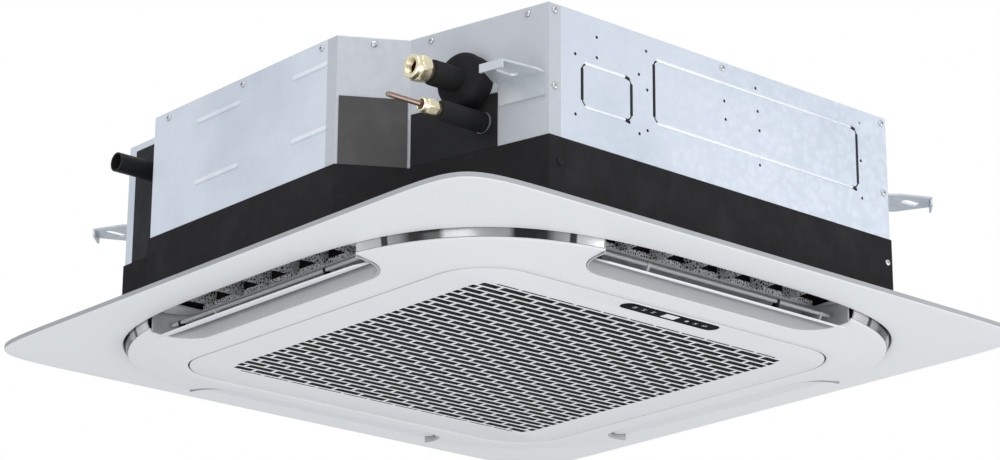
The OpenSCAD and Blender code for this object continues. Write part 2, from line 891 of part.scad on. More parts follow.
module pipe_cover() {
    placed([0.15, 0.15, 0.15]) difference() {
        cover(PIPE_FACE, cover_t + cover_gap, pipe_cover_share * edge_length(PIPE_FACE), pipe_cover_high);
        translate([face_x(gas_y), gas_y, gas_z]) rotate([0, 0, -pipe_slant]) rotate([0, -90, 0])
            up(-overrun) cylinder(r = grommet_r + cover_gap, h = grommet_t);
        translate([0, liquid_y, liquid_z]) rotate([0, -90, 0])
            cylinder(d = liquid_sleeve_d + 2 * cover_gap, h = half_w);
    }
}

module side_cover() {
    placed([0.3, 0.28, 0.28])
        cover(PIPE_SIDE, corner_return / 6, edge_length(PIPE_SIDE) - cover_t - cover_gap, side_cover_high);
}

module drain_cover() {
    placed([0.13, 0.13, 0.13]) difference() {
        cover(DRAIN_FACE, corner_return, edge_length(DRAIN_FACE) - cover_t, drain_cover_high);
        on_edge(DRAIN_FACE, drain_at, drain_z)
            cylinder(d = drain_d + 2 * seat_gap, h = 4 * cover_t);
    }
}

drain_wall = 2;
drain_flange = 6;
drain_tail = 16;

module drain_pipe() {
    placed([0.1, 0.1, 0.1]) on_edge(DRAIN_FACE, drain_at, drain_z) {
        up(-lining_t - drain_tail)
            tube(drain_d / 2, drain_wall, drain_len + cover_t + lining_t + drain_tail);
        up(cover_t + 2 * seat_gap)
            difference() {
                cylinder(d = drain_d + 2 * drain_flange, h = drain_wall);
                up(-overrun)
                    cylinder(d = drain_d - drain_wall, h = drain_wall + 2 * overrun);
            }
    }
}

// The hose from the pump's top to the drain pipe
hose_r = 9;
hose_band = 1;
pump_h = 82;
pump_top = trough_z + pump_h;
drain_inner = edge_start(DRAIN_FACE).x + lining_t + drain_tail;

module drain_hose() {
    spigot = drain_inner - drain_tail / 2;
    start = [spigot + drain_tail, drain_y];
    run = sump - start;
    placed("slategray") {
        translate([spigot, drain_y, drain_z]) lie()
            cylinder(r = drain_d / 2 - drain_wall - seat_gap, h = drain_tail);
        translate([start.x, start.y, drain_z]) sphere(r = hose_r + hose_band);
        translate([start.x, start.y, drain_z]) rotate([0, 90, atan2(run.y, run.x)])
            cylinder(r = hose_r, h = norm(run));
        translate([sump.x, sump.y, drain_z]) sphere(r = hose_r + hose_band);
        translate([sump.x, sump.y, pump_top])
            cylinder(r = hose_r, h = drain_z - pump_top);
    }
}

chamber_r = 13;
chamber_low = trough_z + 6;
chamber_h = 16;
impeller_r = 11;
pump_shaft_r = 2;

module drain_pump() {
    placed("whitesmoke") translate([sump.x, sump.y, 0]) difference() {
        union() {
            up(chamber_low) cylinder(r = chamber_r + fan_t, h = chamber_h + fan_t);
            up(chamber_low + chamber_h)
                cylinder(r = chamber_r * 0.7, h = pump_top - chamber_low - chamber_h);
            up(pan_top + hose_r) cylinder(r = pump_r, h = pump_top - pan_top - hose_r);
            // Legs that stand on the pan beside the sump
            for (a = [45, 225]) rotate([0, 0, a])
                block([0, -hose_r / 2, pan_top + seat_gap],
                      [sump_r + hose_r, hose_r / 2, pan_top + hose_r + fan_t]);
        }
        up(chamber_low + fan_t) cylinder(r = chamber_r, h = chamber_h - fan_t);
        up(chamber_low - overrun) cylinder(r = impeller_r / 2, h = chamber_h);
        up(chamber_low)
            cylinder(r = pump_shaft_r + run_fit, h = pump_top - chamber_low - fan_t);
    }
}

module pump_impeller() {
    low = chamber_low + fan_t + 1.5 * seat_gap;
    high = chamber_low + chamber_h - 1.5 * seat_gap;
    placed("lightsteelblue") translate([sump.x, sump.y, 0]) {
        up(low) cylinder(r = pump_shaft_r, h = pump_top - low - fan_t - 2 * seat_gap);
        up(high - fan_t) cylinder(r = impeller_r, h = fan_t);
        for (a = [0 : 90 : 270]) rotate([0, 0, a])
            block([0, -pump_shaft_r / 4, low], [impeller_r, pump_shaft_r / 4, high - fan_t]);
    }
}

stem_r = 3.5;
float_r = 12;
float_h = 12;

module float_switch() {
    placed("ivory") translate([float_at.x, float_at.y, 0]) {
        up(trough_z + seat_gap) cylinder(r = stem_r * 1.5, h = seat_gap * 10);
        up(trough_z + seat_gap) cylinder(r = stem_r, h = pan_top - trough_z + stem_r);
        up(pan_top + stem_r)
            cylinder(r = float_r, h = fan_t * 2);
        translate([-sump_r / 2 - stem_r / 2, -stem_r, pan_top + seat_gap])
            cube([sump_r / 2 + stem_r / 2, 2 * stem_r, stem_r + fan_t]);
    }
}

module float() {
    placed("orange") translate([float_at.x, float_at.y, trough_z + 12 * seat_gap]) difference() {
        cylinder(r = float_r, h = float_h);
        up(-overrun) cylinder(r = stem_r + run_fit, h = float_h + 2 * overrun);
    }
}

/* Fan */

bell_t = 2.5;
bell_flange = 16;
bell_rise = 54;
bell_steps = 8;
bell_curve = [
    for (i = [0 : bell_steps]) let (a = 90 * i / bell_steps)
        [pan_hole_r - 4 * bell_t - (pan_hole_r - 4 * bell_t - throat_r) * sin(a),
         well_z - bell_t + bell_rise * (1 - cos(a))]
];

module bell_mouth() {
    placed("whitesmoke") {
        rotate_extrude() polygon(concat(
            [[pan_hole_r + bell_flange, well_z - bell_t - seat_gap]],
            [for (p = bell_curve) [p.x, p.y - seat_gap]],
            reversed([for (i = [0 : bell_steps]) let (p = bell_curve[i], a = 90 * i / bell_steps)
                [p.x + bell_t * sin(a), p.y + bell_t * cos(a) - seat_gap]]),
            [[pan_hole_r + bell_flange, well_z - seat_gap]]));
    }
}

motor_h = 46;
motor_low = fan_top - motor_h;
motor_high = casing_h - sheet_t - seat_gap;
foot_r = 10;

module fan_motor() {
    placed("silver") difference() {
        union() {
            up(motor_low) cylinder(r = motor_r, h = (motor_high - motor_low) * 0.8);
            up(motor_low) cylinder(r = motor_r + fan_t, h = fan_t);
            for (k = [0 : 2]) rotate([0, 0, 120 * k]) translate([motor_r * 0.75, 0, motor_low + fan_t])
                cylinder(r = foot_r, h = motor_high - motor_low - fan_t);
        }
        up(motor_low - overrun)
            cylinder(d = shaft_d + 2 * run_fit, h = (motor_high - motor_low) * 0.7 + overrun);
    }
}

hub_r = 15;
hub_len = 26;
hub_low = motor_low - hub_len;
cup_r = motor_r + 4 * fan_t;
shroud_lip = 22;

module fan_shaft() {
    placed("silver") up(hub_low - shaft_d)
        cylinder(d = shaft_d, h = motor_low - hub_low + shaft_d + (motor_high - motor_low) * 0.6);
}

module fan_nut() {
    placed("darkgray") up(hub_low - shaft_d * 0.8) difference() {
        cylinder(d = 1.9 * shaft_d, h = shaft_d * 0.8 - seat_gap, $fn = 6);
        up(-overrun) cylinder(d = shaft_d + 2 * run_fit, h = shaft_d + 2 * overrun);
    }
}

blade_in = fan_r * 0.5;
blade_out = fan_r - 2 * fan_t;
blade_sweep = 38;
blade_steps = 6;
// Middle line of a backward curved blade
blade_line = [
    for (i = [0 : blade_steps]) let (s = i / blade_steps, r = blade_in + (blade_out - blade_in) * s,
        a = -blade_sweep * pow(s, 1.4)) r * [cos(a), sin(a)]
];

module turbo_fan() {
    placed("lightslategray") {
        difference() {
            union() {
                up(fan_top - fan_t)
                    tube(fan_r, fan_r - cup_r, fan_t);
                up(motor_low - 3 * fan_t)
                    tube(cup_r + fan_t, fan_t, fan_top - motor_low + 3 * fan_t);
                up(motor_low - 3 * fan_t)
                    cylinder(r = cup_r + fan_t / 2, h = fan_t);
                up(hub_low) cylinder(r = hub_r, h = motor_low - hub_low - 2 * fan_t);
            }
            up(hub_low - overrun)
                cylinder(d = shaft_d + 2 * run_fit, h = motor_low);
        }
        rotate_extrude() polygon([
            [fan_inlet_r, fan_mouth - shroud_lip], [fan_inlet_r + fan_t, fan_mouth - shroud_lip],
            [fan_inlet_r + 2 * fan_t, fan_mouth - shroud_lip / 2], [fan_r, fan_mouth],
            [fan_r, fan_mouth + fan_t], [fan_inlet_r + fan_t, fan_mouth - shroud_lip / 2 + fan_t],
            [fan_inlet_r, fan_mouth - shroud_lip / 2]]);
        for (k = [0 : fan_blades - 1]) rotate([0, 0, 360 * k / fan_blades])
            fan_blade();
    }
}

module fan_blade() {
    difference() {
        up(fan_mouth - shroud_lip / 4)
            linear_extrude(fan_top - fan_mouth - fan_t / 2 + shroud_lip / 4)
            polygon(concat(blade_line, reversed(inset_run(blade_line, fan_t))));
        rotate_extrude() polygon([
            [0, fan_mouth - shroud_lip], [fan_inlet_r, fan_mouth - shroud_lip],
            [fan_inlet_r, fan_mouth - shroud_lip / 2 + fan_t / 2],
            [fan_r + overrun, fan_mouth + fan_t / 2], [fan_r + overrun, fan_mouth - shroud_lip]]);
    }
}

/* Control box under the pan, beside the bell mouth */

box_len = 400;
box_w = 50;
box_h = 34;
box_wall = 1.2;
box_out = well_half - 8;

module control_box() {
    placed("gainsboro") difference() {
        block([-box_len / 2, box_out - box_w, well_z - box_h - seat_gap],
              [box_len / 2, box_out, well_z - seat_gap]);
        block([-box_len / 2 + box_wall, box_out - box_w + box_wall, well_z - box_h - overrun - seat_gap],
              [box_len / 2 - box_wall, box_out - box_wall, well_z - box_wall - seat_gap]);
    }
}

module control_lid() {
    placed("silver")
        block([-box_len / 2, box_out - box_w, well_z - box_h - box_wall - 2 * seat_gap],
              [box_len / 2, box_out, well_z - box_h - 2 * seat_gap]);
}

module control_board() {
    board_top = well_z - seat_gap - box_wall - box_h / 4;
    placed("seagreen") {
        block([-box_len * 0.4, box_out - box_w + 4 * box_wall, board_top - box_wall],
              [box_len * 0.3, box_out - 4 * box_wall, board_top]);
        for (x = [-0.36, 0.26], y = [0.25, 0.75])
            translate([box_len * x, box_out - box_w * y, board_top - box_wall / 2])
                cylinder(r = box_wall * 2, h = box_h / 4 + box_wall / 2 - seat_gap);
        for (x = [-0.3, -0.2, -0.1])
            translate([box_len * x, box_out - box_w / 2, board_top - box_wall - box_h / 3])
                cylinder(r = box_h / 6, h = box_h / 3);
        block([box_len * 0.05, box_out - box_w * 0.7, board_top - box_wall - box_h / 3],
              [box_len * 0.22, box_out - box_w * 0.3, board_top - box_wall]);
    }
}

/* Panel */

chassis_low = 4;
chassis_t = 2.5;
rail_w = 4;

module outline_prism(half, power, low, high) {
    up(low) linear_extrude(high - low) polygon(outline_at(half, power, loft_angles));
}

module panel_seal() {
    placed([0.2, 0.2, 0.2]) difference() {
        outline_prism(lip_half - seat_gap * 5, lip_power, chassis_low + chassis_t, pan_base);
        outline_prism(lip_half - panel_t * 4, lip_power, chassis_low, pan_base + overrun);
    }
}

module panel_chassis() {
    placed("whitesmoke") difference() {
        outline_prism(lip_half + panel_t, lip_power, chassis_low, chassis_low + chassis_t);
        rounded_prism(opening_wall_half + panel_t + seat_gap, opening_r + panel_t + seat_gap,
            chassis_low - overrun, chassis_low + chassis_t + overrun);
        passages(passage_in + rail_w, chassis_low - overrun, chassis_low + chassis_t + overrun);
        for (x = [-1, 1], y = [-1, 1])
            translate([x * bolt_spot, y * bolt_spot, 0]) cylinder(d = bolt_d + 2 * seat_gap, h = pan_base);
    }
}

bolt_head_h = 5.6;

module panel_bolts() {
    low = chassis_low - seat_gap;
    high = pan_base + (pan_top - pan_base) / 3 - overrun - seat_gap;
    placed("silver") for (x = [-1, 1], y = [-1, 1]) translate([x * bolt_spot, y * bolt_spot, 0]) {
        up(low - bolt_head_h) cylinder(d = bolt_d * 1.9, h = bolt_head_h, $fn = 6);
        up(low - bolt_head_h / 2)
            cylinder(d = bolt_d, h = high - low + bolt_head_h / 2);
    }
}

rim_edge = 1.5;

module panel_frame() {
    rim = panel_w / 2;
    placed("whitesmoke") ring_loft([
        ring_at(rim, rim_power, 0),
        ring_at(rim, rim_power, -rim_h + rim_edge),
        ring_at(rim - rim_edge, rim_power, -rim_h),
        ring_at(lip_half + rim_edge, lip_power, -lip_z),
        ring_at(lip_half, lip_power, -lip_z + rim_edge),
        ring_at(lip_half, lip_power, chassis_low - seat_gap),
        ring_at(lip_half + panel_t, lip_power, chassis_low - seat_gap),
        ring_at(lip_half + panel_t, lip_power, -lip_z + panel_t + rim_edge),
        ring_at(rim - 3 * panel_t, rim_power, -panel_t - rim_edge),
        ring_at(rim - 2 * panel_t, rim_power, 0)
    ]);
}

trim_t = 1.6;
trim_slant = 3;
island_gap = 1;
flat_margin = 12;
trim_top = lip_half - trim_gap;
trim_low = trim_top - trim_slant;
island_half = trim_low - island_gap;
island_flat = grille_half + flat_margin;
edge_ease = 0.3;

// Depth of the island's lower surface at a point in plan
function island_z(p) =
    let (a = atan2(p.y, p.x), low = reach(island_flat, opening_power, a),
         high = reach(island_half, lip_power, a))
    between(-face_z, -island_edge_z, max(0, min(1, (norm(p) - low) / (high - low))));

// Angle at which a superellipse passes a given distance
function angle_past(half, power, distance) =
    atan2(distance, half * pow(1 - pow(distance / half, power), 1 / power));

trim_steps = 14;
trim_start = angle_past(trim_low, lip_power, outlet_len / 2 + 2 * trim_gap);

// Glossy wall round each corner, hung from the chassis inside the lip
module corner_trims() {
    heights = [chassis_low - seat_gap, -lip_z + 2 * trim_gap, -island_edge_z + panel_t + seat_gap];
    placed("lightgray") for (k = [0 : 3]) at_side(k)
        strip_loft([
            for (i = [0 : trim_steps]) let (a = trim_start + (90 - 2 * trim_start) * i / trim_steps,
                way = [cos(a), sin(a)], high = reach(trim_top, lip_power, a) * way,
                low = reach(trim_low, lip_power, a) * way, t = trim_t * way)
                [[high.x, high.y, heights[0]], [high.x, high.y, heights[1]], [low.x, low.y, heights[2]],
                 [low.x - t.x, low.y - t.y, heights[2]], [high.x - t.x, high.y - t.y, heights[1]],
                 [high.x - t.x, high.y - t.y, heights[0]]]
        ]);
}

// The cut-out for a louver on the front side: straight inside edge with rounded corners
module outlet_prism(grow, low, high) {
    r = outlet_r + grow;
    up(low) linear_extrude(high - low) {
        translate([-outlet_len / 2 - grow, -panel_w / 2])
            square([outlet_len + 2 * grow, panel_w / 2 - outlet_in - outlet_r]);
        translate([-outlet_len / 2 + outlet_r, -panel_w / 2])
            square([outlet_len - 2 * outlet_r, panel_w / 2 - outlet_in + grow]);
        for (s = [-1, 1])
            translate([s * (outlet_len / 2 - outlet_r), -outlet_in - outlet_r]) circle(r);
    }
}

// Edge of the island on its right side: the outlet's edge, then the corner
edge_steps = 7;
edge_end_a = angle_past(island_half, lip_power, outlet_len / 2);
edge_straight_shares = [-0.2, 0, 0.2];
island_outlet = concat(
    [for (i = [0 : edge_steps]) let (a = 270 - 90 * i / edge_steps)
        [outlet_in + outlet_r + outlet_r * cos(a), -outlet_len / 2 + outlet_r + outlet_r * sin(a)]],
    [for (s = edge_straight_shares) [outlet_in, s * outlet_len]],
    [for (i = [0 : edge_steps]) let (a = 180 - 90 * i / edge_steps)
        [outlet_in + outlet_r + outlet_r * cos(a), outlet_len / 2 - outlet_r + outlet_r * sin(a)]]);
island_corner = [
    for (i = [0 : trim_steps]) let (a = edge_end_a + (90 - 2 * edge_end_a) * i / trim_steps)
        reach(island_half, lip_power, a) * [cos(a), sin(a)]
];
opening_half = grille_half + grille_gap;
opening_wall_half = opening_half + seat_gap * 5;
opening_r = grille_r + grille_gap;
pivot_corner = [outlet_len / 2, outlet_len / 2];

// Distance from the pivot corner to the grille opening's edge
function corner_reach(way) =
    let (c = opening_half - opening_r, d = pivot_corner - [c, c], side = opening_half - pivot_corner.x,
         long = max(way.x, way.y), short = min(way.x, way.y))
    pivot_corner.x + side * short / long <= c
        ? side / long
        : -d * way + sqrt(pow(d * way, 2) - d * d + opening_r * opening_r);

// Points on the grille opening opposite those of the island's edge
outlet_squeeze = 0.96;
opening_outlet = [for (p = island_outlet) [opening_half, p.y * outlet_squeeze]];
opening_corner = [
    for (p = island_corner) let (way = unit(p - pivot_corner)) pivot_corner + corner_reach(way) * way
];
function turned(p, k) = [p.x * cos(90 * k) - p.y * sin(90 * k), p.x * sin(90 * k) + p.y * cos(90 * k)];
island_edge = [for (k = [0 : 3], p = concat(island_outlet, island_corner)) turned(p, k)];
island_opening = [for (k = [0 : 3], p = concat(opening_outlet, opening_corner)) turned(p, k)];

module island_frame() {
    flat = [for (i = [0 : len(island_edge) - 1])
        island_opening[i] + (island_flat - opening_half) * unit(island_edge[i] - island_opening[i])];
    placed("whitesmoke") ring_loft([
        [for (p = island_edge) [p.x, p.y, island_z(p)]],
        [for (p = flat) [p.x, p.y, -face_z]],
        [for (p = island_opening) [p.x, p.y, -face_z + edge_ease]],
        [for (p = island_opening) [p.x, p.y, -face_z + edge_ease + panel_t]],
        [for (p = flat) [p.x, p.y, -face_z + panel_t]],
        [for (p = island_edge) [p.x, p.y, island_z(p) + panel_t]]
    ]);
}

hinge_in = 13;
hinge_up = 6;
hinge_y = grille_half - hinge_in;
hinge_z = -face_z + hinge_up;
hinge_x = 150;
lug_t = 5;
ear_t = 6;
lug_half = 3;
lug_top = 2.5;
guide_wall = 4;
guide_low = hinge_z + lug_t;
guide_high = guide_low + 2 * lug_t;

// Places of the four lugs beside the grille's ears
module at_lugs() {
    for (s = [-1, 1], e = [-1, 1])
        translate([s * hinge_x + e * (ear_t + lug_t + 4 * seat_gap) / 2, hinge_y, 0]) children();
}

// Wall round the grille, with guides for the hinge lugs
module opening_frame() {
    inner = opening_wall_half;
    base = -face_z + edge_ease + panel_t + seat_gap;
    placed("whitesmoke") difference() {
        union() {
            difference() {
                rounded_prism(inner + panel_t, opening_r + panel_t, base, chassis_low + chassis_t);
                rounded_prism(inner, opening_r, base - overrun, chassis_low + 2 * chassis_t);
            }
            at_lugs() block([-lug_t / 2 - guide_wall, -lug_half - guide_wall, guide_low],
                            [lug_t / 2 + guide_wall, inner + panel_t / 2 - hinge_y, guide_high]);
        }
        at_lugs() block([-lug_t / 2 - 1.5 * seat_gap, -lug_half - 1.5 * seat_gap, guide_low - overrun],
                        [lug_t / 2 + 1.5 * seat_gap, lug_half + 1.5 * seat_gap, guide_high + overrun]);
    }
}

// Hinge pins in lugs that slide down as the grille opens
module hinge_pins() {
    placed("silver") {
        for (s = [-1, 1]) translate([s * hinge_x, hinge_y, hinge_z]) lie()
            cylinder(d = hinge_d, h = ear_t + 2 * lug_t + 4 * seat_gap, center = true);
        at_lugs() {
            translate([0, 0, hinge_z]) lie() cylinder(r = lug_half, h = lug_t, center = true);
            block([-lug_t / 2, -lug_half, hinge_z], [lug_t / 2, lug_half, lug_top]);
        }
    }
}

catch_x = 190;
catch_w = 22;
catch_d = 12;
striker = 6;

module grille_catches() {
    inner = opening_wall_half - seat_gap;
    placed("dimgray") for (s = [-1, 1]) translate([s * catch_x, -inner, 0]) difference() {
        block([-catch_w / 2, 0, -face_z + bar_h + striker], [catch_w / 2, catch_d, 0]);
        block([-striker, catch_d / 4, -face_z], [striker, catch_d * 0.75, -face_z + bar_h + striker * 1.5]);
    }
}

/* Outlets */

duct_wall = 2.5;
duct_clear = 0.3;
boss_r = 6;
boss_gap = 0.5;
boss_out = outlet_len / 2 + boss_gap;
// Half length of the duct at the height of the pivot
pivot_reach = outlet_len / 2 - outlet_r
    + sqrt(pow(outlet_r - duct_clear - duct_wall, 2) - pow(outlet_in + outlet_r - pivot_out, 2));

// Slope of the island's edge along the ends of an outlet
duct_base_in = -face_z + 1.6 * panel_t;
duct_slope = atan2(-island_edge_z - duct_base_in, lip_half - outlet_in) * 0.8;
duct_end_in = 18;
duct_end = lip_half - duct_end_in;

module duct() {
    difference() {
        union() {
            difference() {
                outlet_prism(-duct_clear, -face_z, chassis_low - seat_gap);
                outlet_prism(-duct_clear - duct_wall, -face_z - overrun, chassis_low + overrun);
                block([-outlet_len, -panel_w, -face_z - overrun],
                      [outlet_len, -duct_end, chassis_low + overrun]);
            }
            for (s = [-1, 1]) translate([s * (pivot_reach + duct_wall / 2), -pivot_out, -pivot_z])
                rotate([0, s * 90, 0]) cylinder(r = boss_r, h = boss_out - pivot_reach - duct_wall / 2);
        }
        translate([-outlet_len, -outlet_in, duct_base_in]) rotate([-duct_slope, 0, 0])
            translate([0, -outlet_len, -face_z]) cube([2 * outlet_len, 2 * outlet_len, face_z]);
        translate([0, -pivot_out, -pivot_z]) lie()
            cylinder(d = pivot_d + 2 * run_fit, h = outlet_len + 4 * overrun, center = true);
    }
}

module outlet_ducts() {
    placed("silver") for (k = [0 : 3]) at_side(k) duct();
}

vane_t = 1.6;
vane_gap = 3;
vane_bulge = 3;
vane_low = 4;

// Fixed vanes across an outlet, on a rail along its inner side
module vane_comb(half) {
    depth = passage_w - rail_w - 2 * vane_gap;
    rail_z = chassis_low + chassis_t + seat_gap;
    block([-half + vane_gap, -passage_in - rail_w + seat_gap, rail_z],
          [half - vane_gap, -passage_in - seat_gap, rail_z + rail_w * 1.5]);
    for (i = [1 : vane_count])
        translate([vane_pitch * (i - (vane_count + 1) / 2), -passage_in - rail_w / 2, 0]) {
        line = [for (s = [0 : 0.25 : 1]) [4 * vane_bulge * s * (1 - s), -depth * s]];
        up(rail_z) linear_extrude(vane_h - rail_z)
            polygon(concat(line, reversed(inset_run(line, vane_t))));
        up(vane_low) linear_extrude(rail_z - vane_low + vane_t) intersection() {
            polygon(concat(line, reversed(inset_run(line, vane_t))));
            translate([-depth, -depth - vane_t]) square([2 * depth, depth - rail_w - vane_gap + vane_t]);
        }
    }
}

module outlet_vanes() {
    placed([0.35, 0.35, 0.36]) for (k = [0 : 3]) at_side(k) vane_comb(passage_half(k));
}

swing_len = 18;
swing_rise = 2;
louver_tail = 8;

module swing_motors() {
    placed("lightgray") for (k = [0 : 3]) at_side(k)
        translate([boss_out + seat_gap, -pivot_out, -pivot_z]) difference() {
            union() {
                up(swing_rise) lie() cylinder(d = swing_d, h = swing_len);
                block([0, -swing_d * 0.72, swing_rise - boss_r / 2],
                      [overrun, swing_d * 0.72, swing_rise + boss_r / 2]);
            }
            translate([-overrun, 0, 0]) lie()
                cylinder(d = pivot_d + 2 * run_fit, h = louver_tail + 2 * overrun);
        }
}

blade_gap = 8;
blade_lip_gap = 2.5;
blade_in_v = outlet_in + blade_gap;
blade_len = lip_half - blade_lip_gap - blade_in_v;
blade_low = 13;
blade_rise = 12;
blade_sag = 1.5;
blade_cells = 8;
clip_t = 4;
clip_places_shares = [-0.93, -0.55, 0.55, 0.93];

// Section of a closed louver blade: distance out, height
function blade_z(s) = -pivot_z - blade_low + blade_rise * s - 4 * blade_sag * s * (1 - s);
blade_section = [
    for (i = [0 : blade_cells]) let (s = i / blade_cells) [blade_in_v + blade_len * s, blade_z(s)]
];

// A louver drawn closed on the front side
module closed_louver() {
    intersection() {
        rotate([90, 0, -90]) up(-outlet_len / 2)
            linear_extrude(outlet_len)
            polygon(concat(blade_section, reversed([for (p = blade_section) [p.x, p.y + blade_t]])));
        outlet_prism(-blade_gap, -face_z, 0);
        outline_prism(lip_half - blade_lip_gap, lip_power, -face_z, 0);
    }
    translate([-pivot_reach - duct_wall, -pivot_out, -pivot_z]) lie()
        cylinder(d = pivot_d, h = 2 * pivot_reach + duct_wall + boss_out - pivot_reach + louver_tail);
    for (c = clip_places_shares)
        translate([c * (pivot_reach - clip_t), 0, 0])
            block([-clip_t / 2, -pivot_out - pivot_d * 0.75,
                   blade_z((pivot_out - blade_in_v) / blade_len) + blade_t / 2],
                  [clip_t / 2, -pivot_out + pivot_d * 0.75, -pivot_z + pivot_d * 0.4]);
}

module louver(k, open) {
    placed("whitesmoke") at_side(k)
        translate([0, -pivot_out, -pivot_z]) rotate([open, 0, 0]) translate([0, pivot_out, pivot_z])
        closed_louver();
}

module front_louver() {
    louver(0, rest_open);
}

module right_louver() {
    louver(1, 0);
}

module back_louver() {
    louver(2, 0);
}

module left_louver() {
    louver(3, rest_open);
}

/* Intake grille */

cols_out = ceil(field_half / slot_pitch);
rows_out = round((field_half + row_bar) / row_pitch);
slot_len = slot_pitch - slot_bar;
slot_w = row_pitch - row_bar;

// Half length of the slotted field at a distance y from its middle
function field_reach(y) =
    let (past = max(0, abs(y) - field_half + field_r))
    field_half - field_r + sqrt(max(0, field_r * field_r - past * past));

// Slots of one row: odd rows are shifted half a pitch
module slot_row(row) {
    low = max(-field_half, row * row_pitch - slot_w / 2);
    high = min(field_half, row * row_pitch + slot_w / 2);
    limit = field_reach(max(abs(low), abs(high)));
    shift = row % 2 == 0 ? 0 : slot_pitch / 2;
    for (c = [-cols_out : cols_out]) {
        left = max(-limit, c * slot_pitch + shift - slot_len / 2);
        right = min(limit, c * slot_pitch + shift + slot_len / 2);
        if (right - left > slot_bar)
            block([left, low, -face_z - overrun], [right, high, -face_z + bar_h + overrun]);
    }
}

display_y = -grille_half + display_in;
grille_wall = 3;
grille_wall_h = 9;

module display_prism(shrink, low, high) {
    r = display_w / 2 - shrink;
    translate([display_right, display_y, low]) linear_extrude(high - low) {
        square([display_len - display_w, 2 * r], center = true);
        for (s = [-1, 1]) translate([s * (display_len - display_w) / 2, 0]) circle(r);
    }
}

module intake_grille() {
    placed("whitesmoke") difference() {
        union() {
            rounded_prism(grille_half, grille_r, -face_z, -face_z + panel_t);
            rounded_prism(field_half + row_bar, field_r + row_bar, -face_z, -face_z + bar_h);
            difference() {
                rounded_prism(grille_half - grille_wall, grille_r - grille_wall,
                    -face_z, -face_z + grille_wall_h);
                rounded_prism(grille_half - grille_wall - panel_t, grille_r - grille_wall - panel_t,
                    -face_z, -face_z + grille_wall_h + overrun);
            }
            for (s = [-1, 1])
                block([s * hinge_x - ear_t / 2, hinge_y - hinge_d * 1.2, -face_z + panel_t / 2],
                      [s * hinge_x + ear_t / 2, hinge_y + hinge_d * 1.2, hinge_z + hinge_d]);
            for (s = [-1, 1])
                translate([s * catch_x, -opening_wall_half + seat_gap + catch_d / 2, 0])
                    block([-striker / 2, -striker / 4, -face_z + panel_t / 2],
                          [striker / 2, striker / 4, -face_z + bar_h + striker * 1.3]);
        }
        for (row = [-rows_out : rows_out]) slot_row(row);
        display_prism(0, -face_z - overrun, -face_z + panel_t);
        display_prism(-grille_wall / 2 - seat_gap, -face_z + panel_t, -face_z + panel_t * 1.5 + seat_gap);
        for (s = [-1, 1])
            translate([s * hinge_x, hinge_y, hinge_z]) lie()
                cylinder(d = hinge_d + 2 * run_fit, h = ear_t + 2 * overrun, center = true);
        // Room for the lugs beside each ear
        for (s = [-1, 1], e = [-1, 1])
            translate([s * hinge_x + e * (ear_t + lug_t + 3 * overrun) / 2, 0, 0])
                block([-(lug_t + 3 * overrun) / 2, hinge_y - 2 * lug_half, -face_z + panel_t],
                      [(lug_t + 3 * overrun) / 2, grille_half, -face_z + 2 * grille_wall_h]);
    }
}

filter_margin = 14;
filter_half = field_half + filter_margin;
filter_border = 10;
filter_h = 4;
filter_net = 0.6;
filter_ribs = 4;

module air_filter() {
    low = -face_z + bar_h + seat_gap;
    placed([0.25, 0.26, 0.27]) {
        difference() {
            rounded_prism(filter_half, field_r, low, low + filter_h);
            rounded_prism(filter_half - filter_border, field_r / 2,
                low - overrun, low + filter_h + overrun);
        }
        rounded_prism(filter_half - filter_border / 2, field_r, low, low + filter_net);
        for (i = [1 : filter_ribs])
            translate([filter_half * (2 * i / (filter_ribs + 1) - 1), 0, 0])
                block([-filter_net * 2, -filter_half + filter_border, low],
                      [filter_net * 2, filter_half - filter_border, low + filter_h]);
    }
}

module display_window() {
    placed([0.05, 0.05, 0.06]) {
        display_prism(seat_gap, -face_z, -face_z + panel_t);
        display_prism(-grille_wall / 2, -face_z + panel_t + seat_gap / 2, -face_z + panel_t * 1.5);
    }
}

module display_board() {
    half = [display_len, display_w] * 0.45;
    placed("seagreen") translate([display_right, display_y, -face_z + panel_t * 1.5 + seat_gap])
        block([-half.x, -half.y, 0], [half.x, half.y, filter_net * 2.5]);
}

front_plate();
right_plate();
back_plate();
left_plate();
pipe_corner_plate();
corner_plates();
drain_corner_plate();
top_plate();
roof_lining();
wall_lining();
casing_screws();
hangers();
drain_pan();
bell_mouth();
fan_motor();
coil();
coil_ends();
coil_pipes();
gas_pipe();
gas_nut();
liquid_pipe();
liquid_nut();
pipe_insulation();
pipe_cover();
side_cover();
drain_cover();
drain_pipe();
drain_hose();
drain_pump();
float_switch();
control_box();
control_lid();
control_board();
panel_seal();
panel_chassis();
panel_bolts();
panel_frame();
corner_trims();
island_frame();
opening_frame();
outlet_ducts();
outlet_vanes();
swing_motors();
hinge_pins();
grille_catches();
turbo_fan();
fan_shaft();
fan_nut();
pump_impeller();
float();
front_louver();
right_louver();
back_louver();
left_louver();
intake_grille();
air_filter();
display_window();
display_board();
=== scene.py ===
# Finishes, fine shapes, lights and camera for the ceiling cassette air conditioner.
# Sizes are in millimetres measured from the ceiling line, and are put into the frame by place().
import math
import bpy
import bmesh
from mathutils import Matrix, Vector
from mathutils.geometry import tessellate_polygon


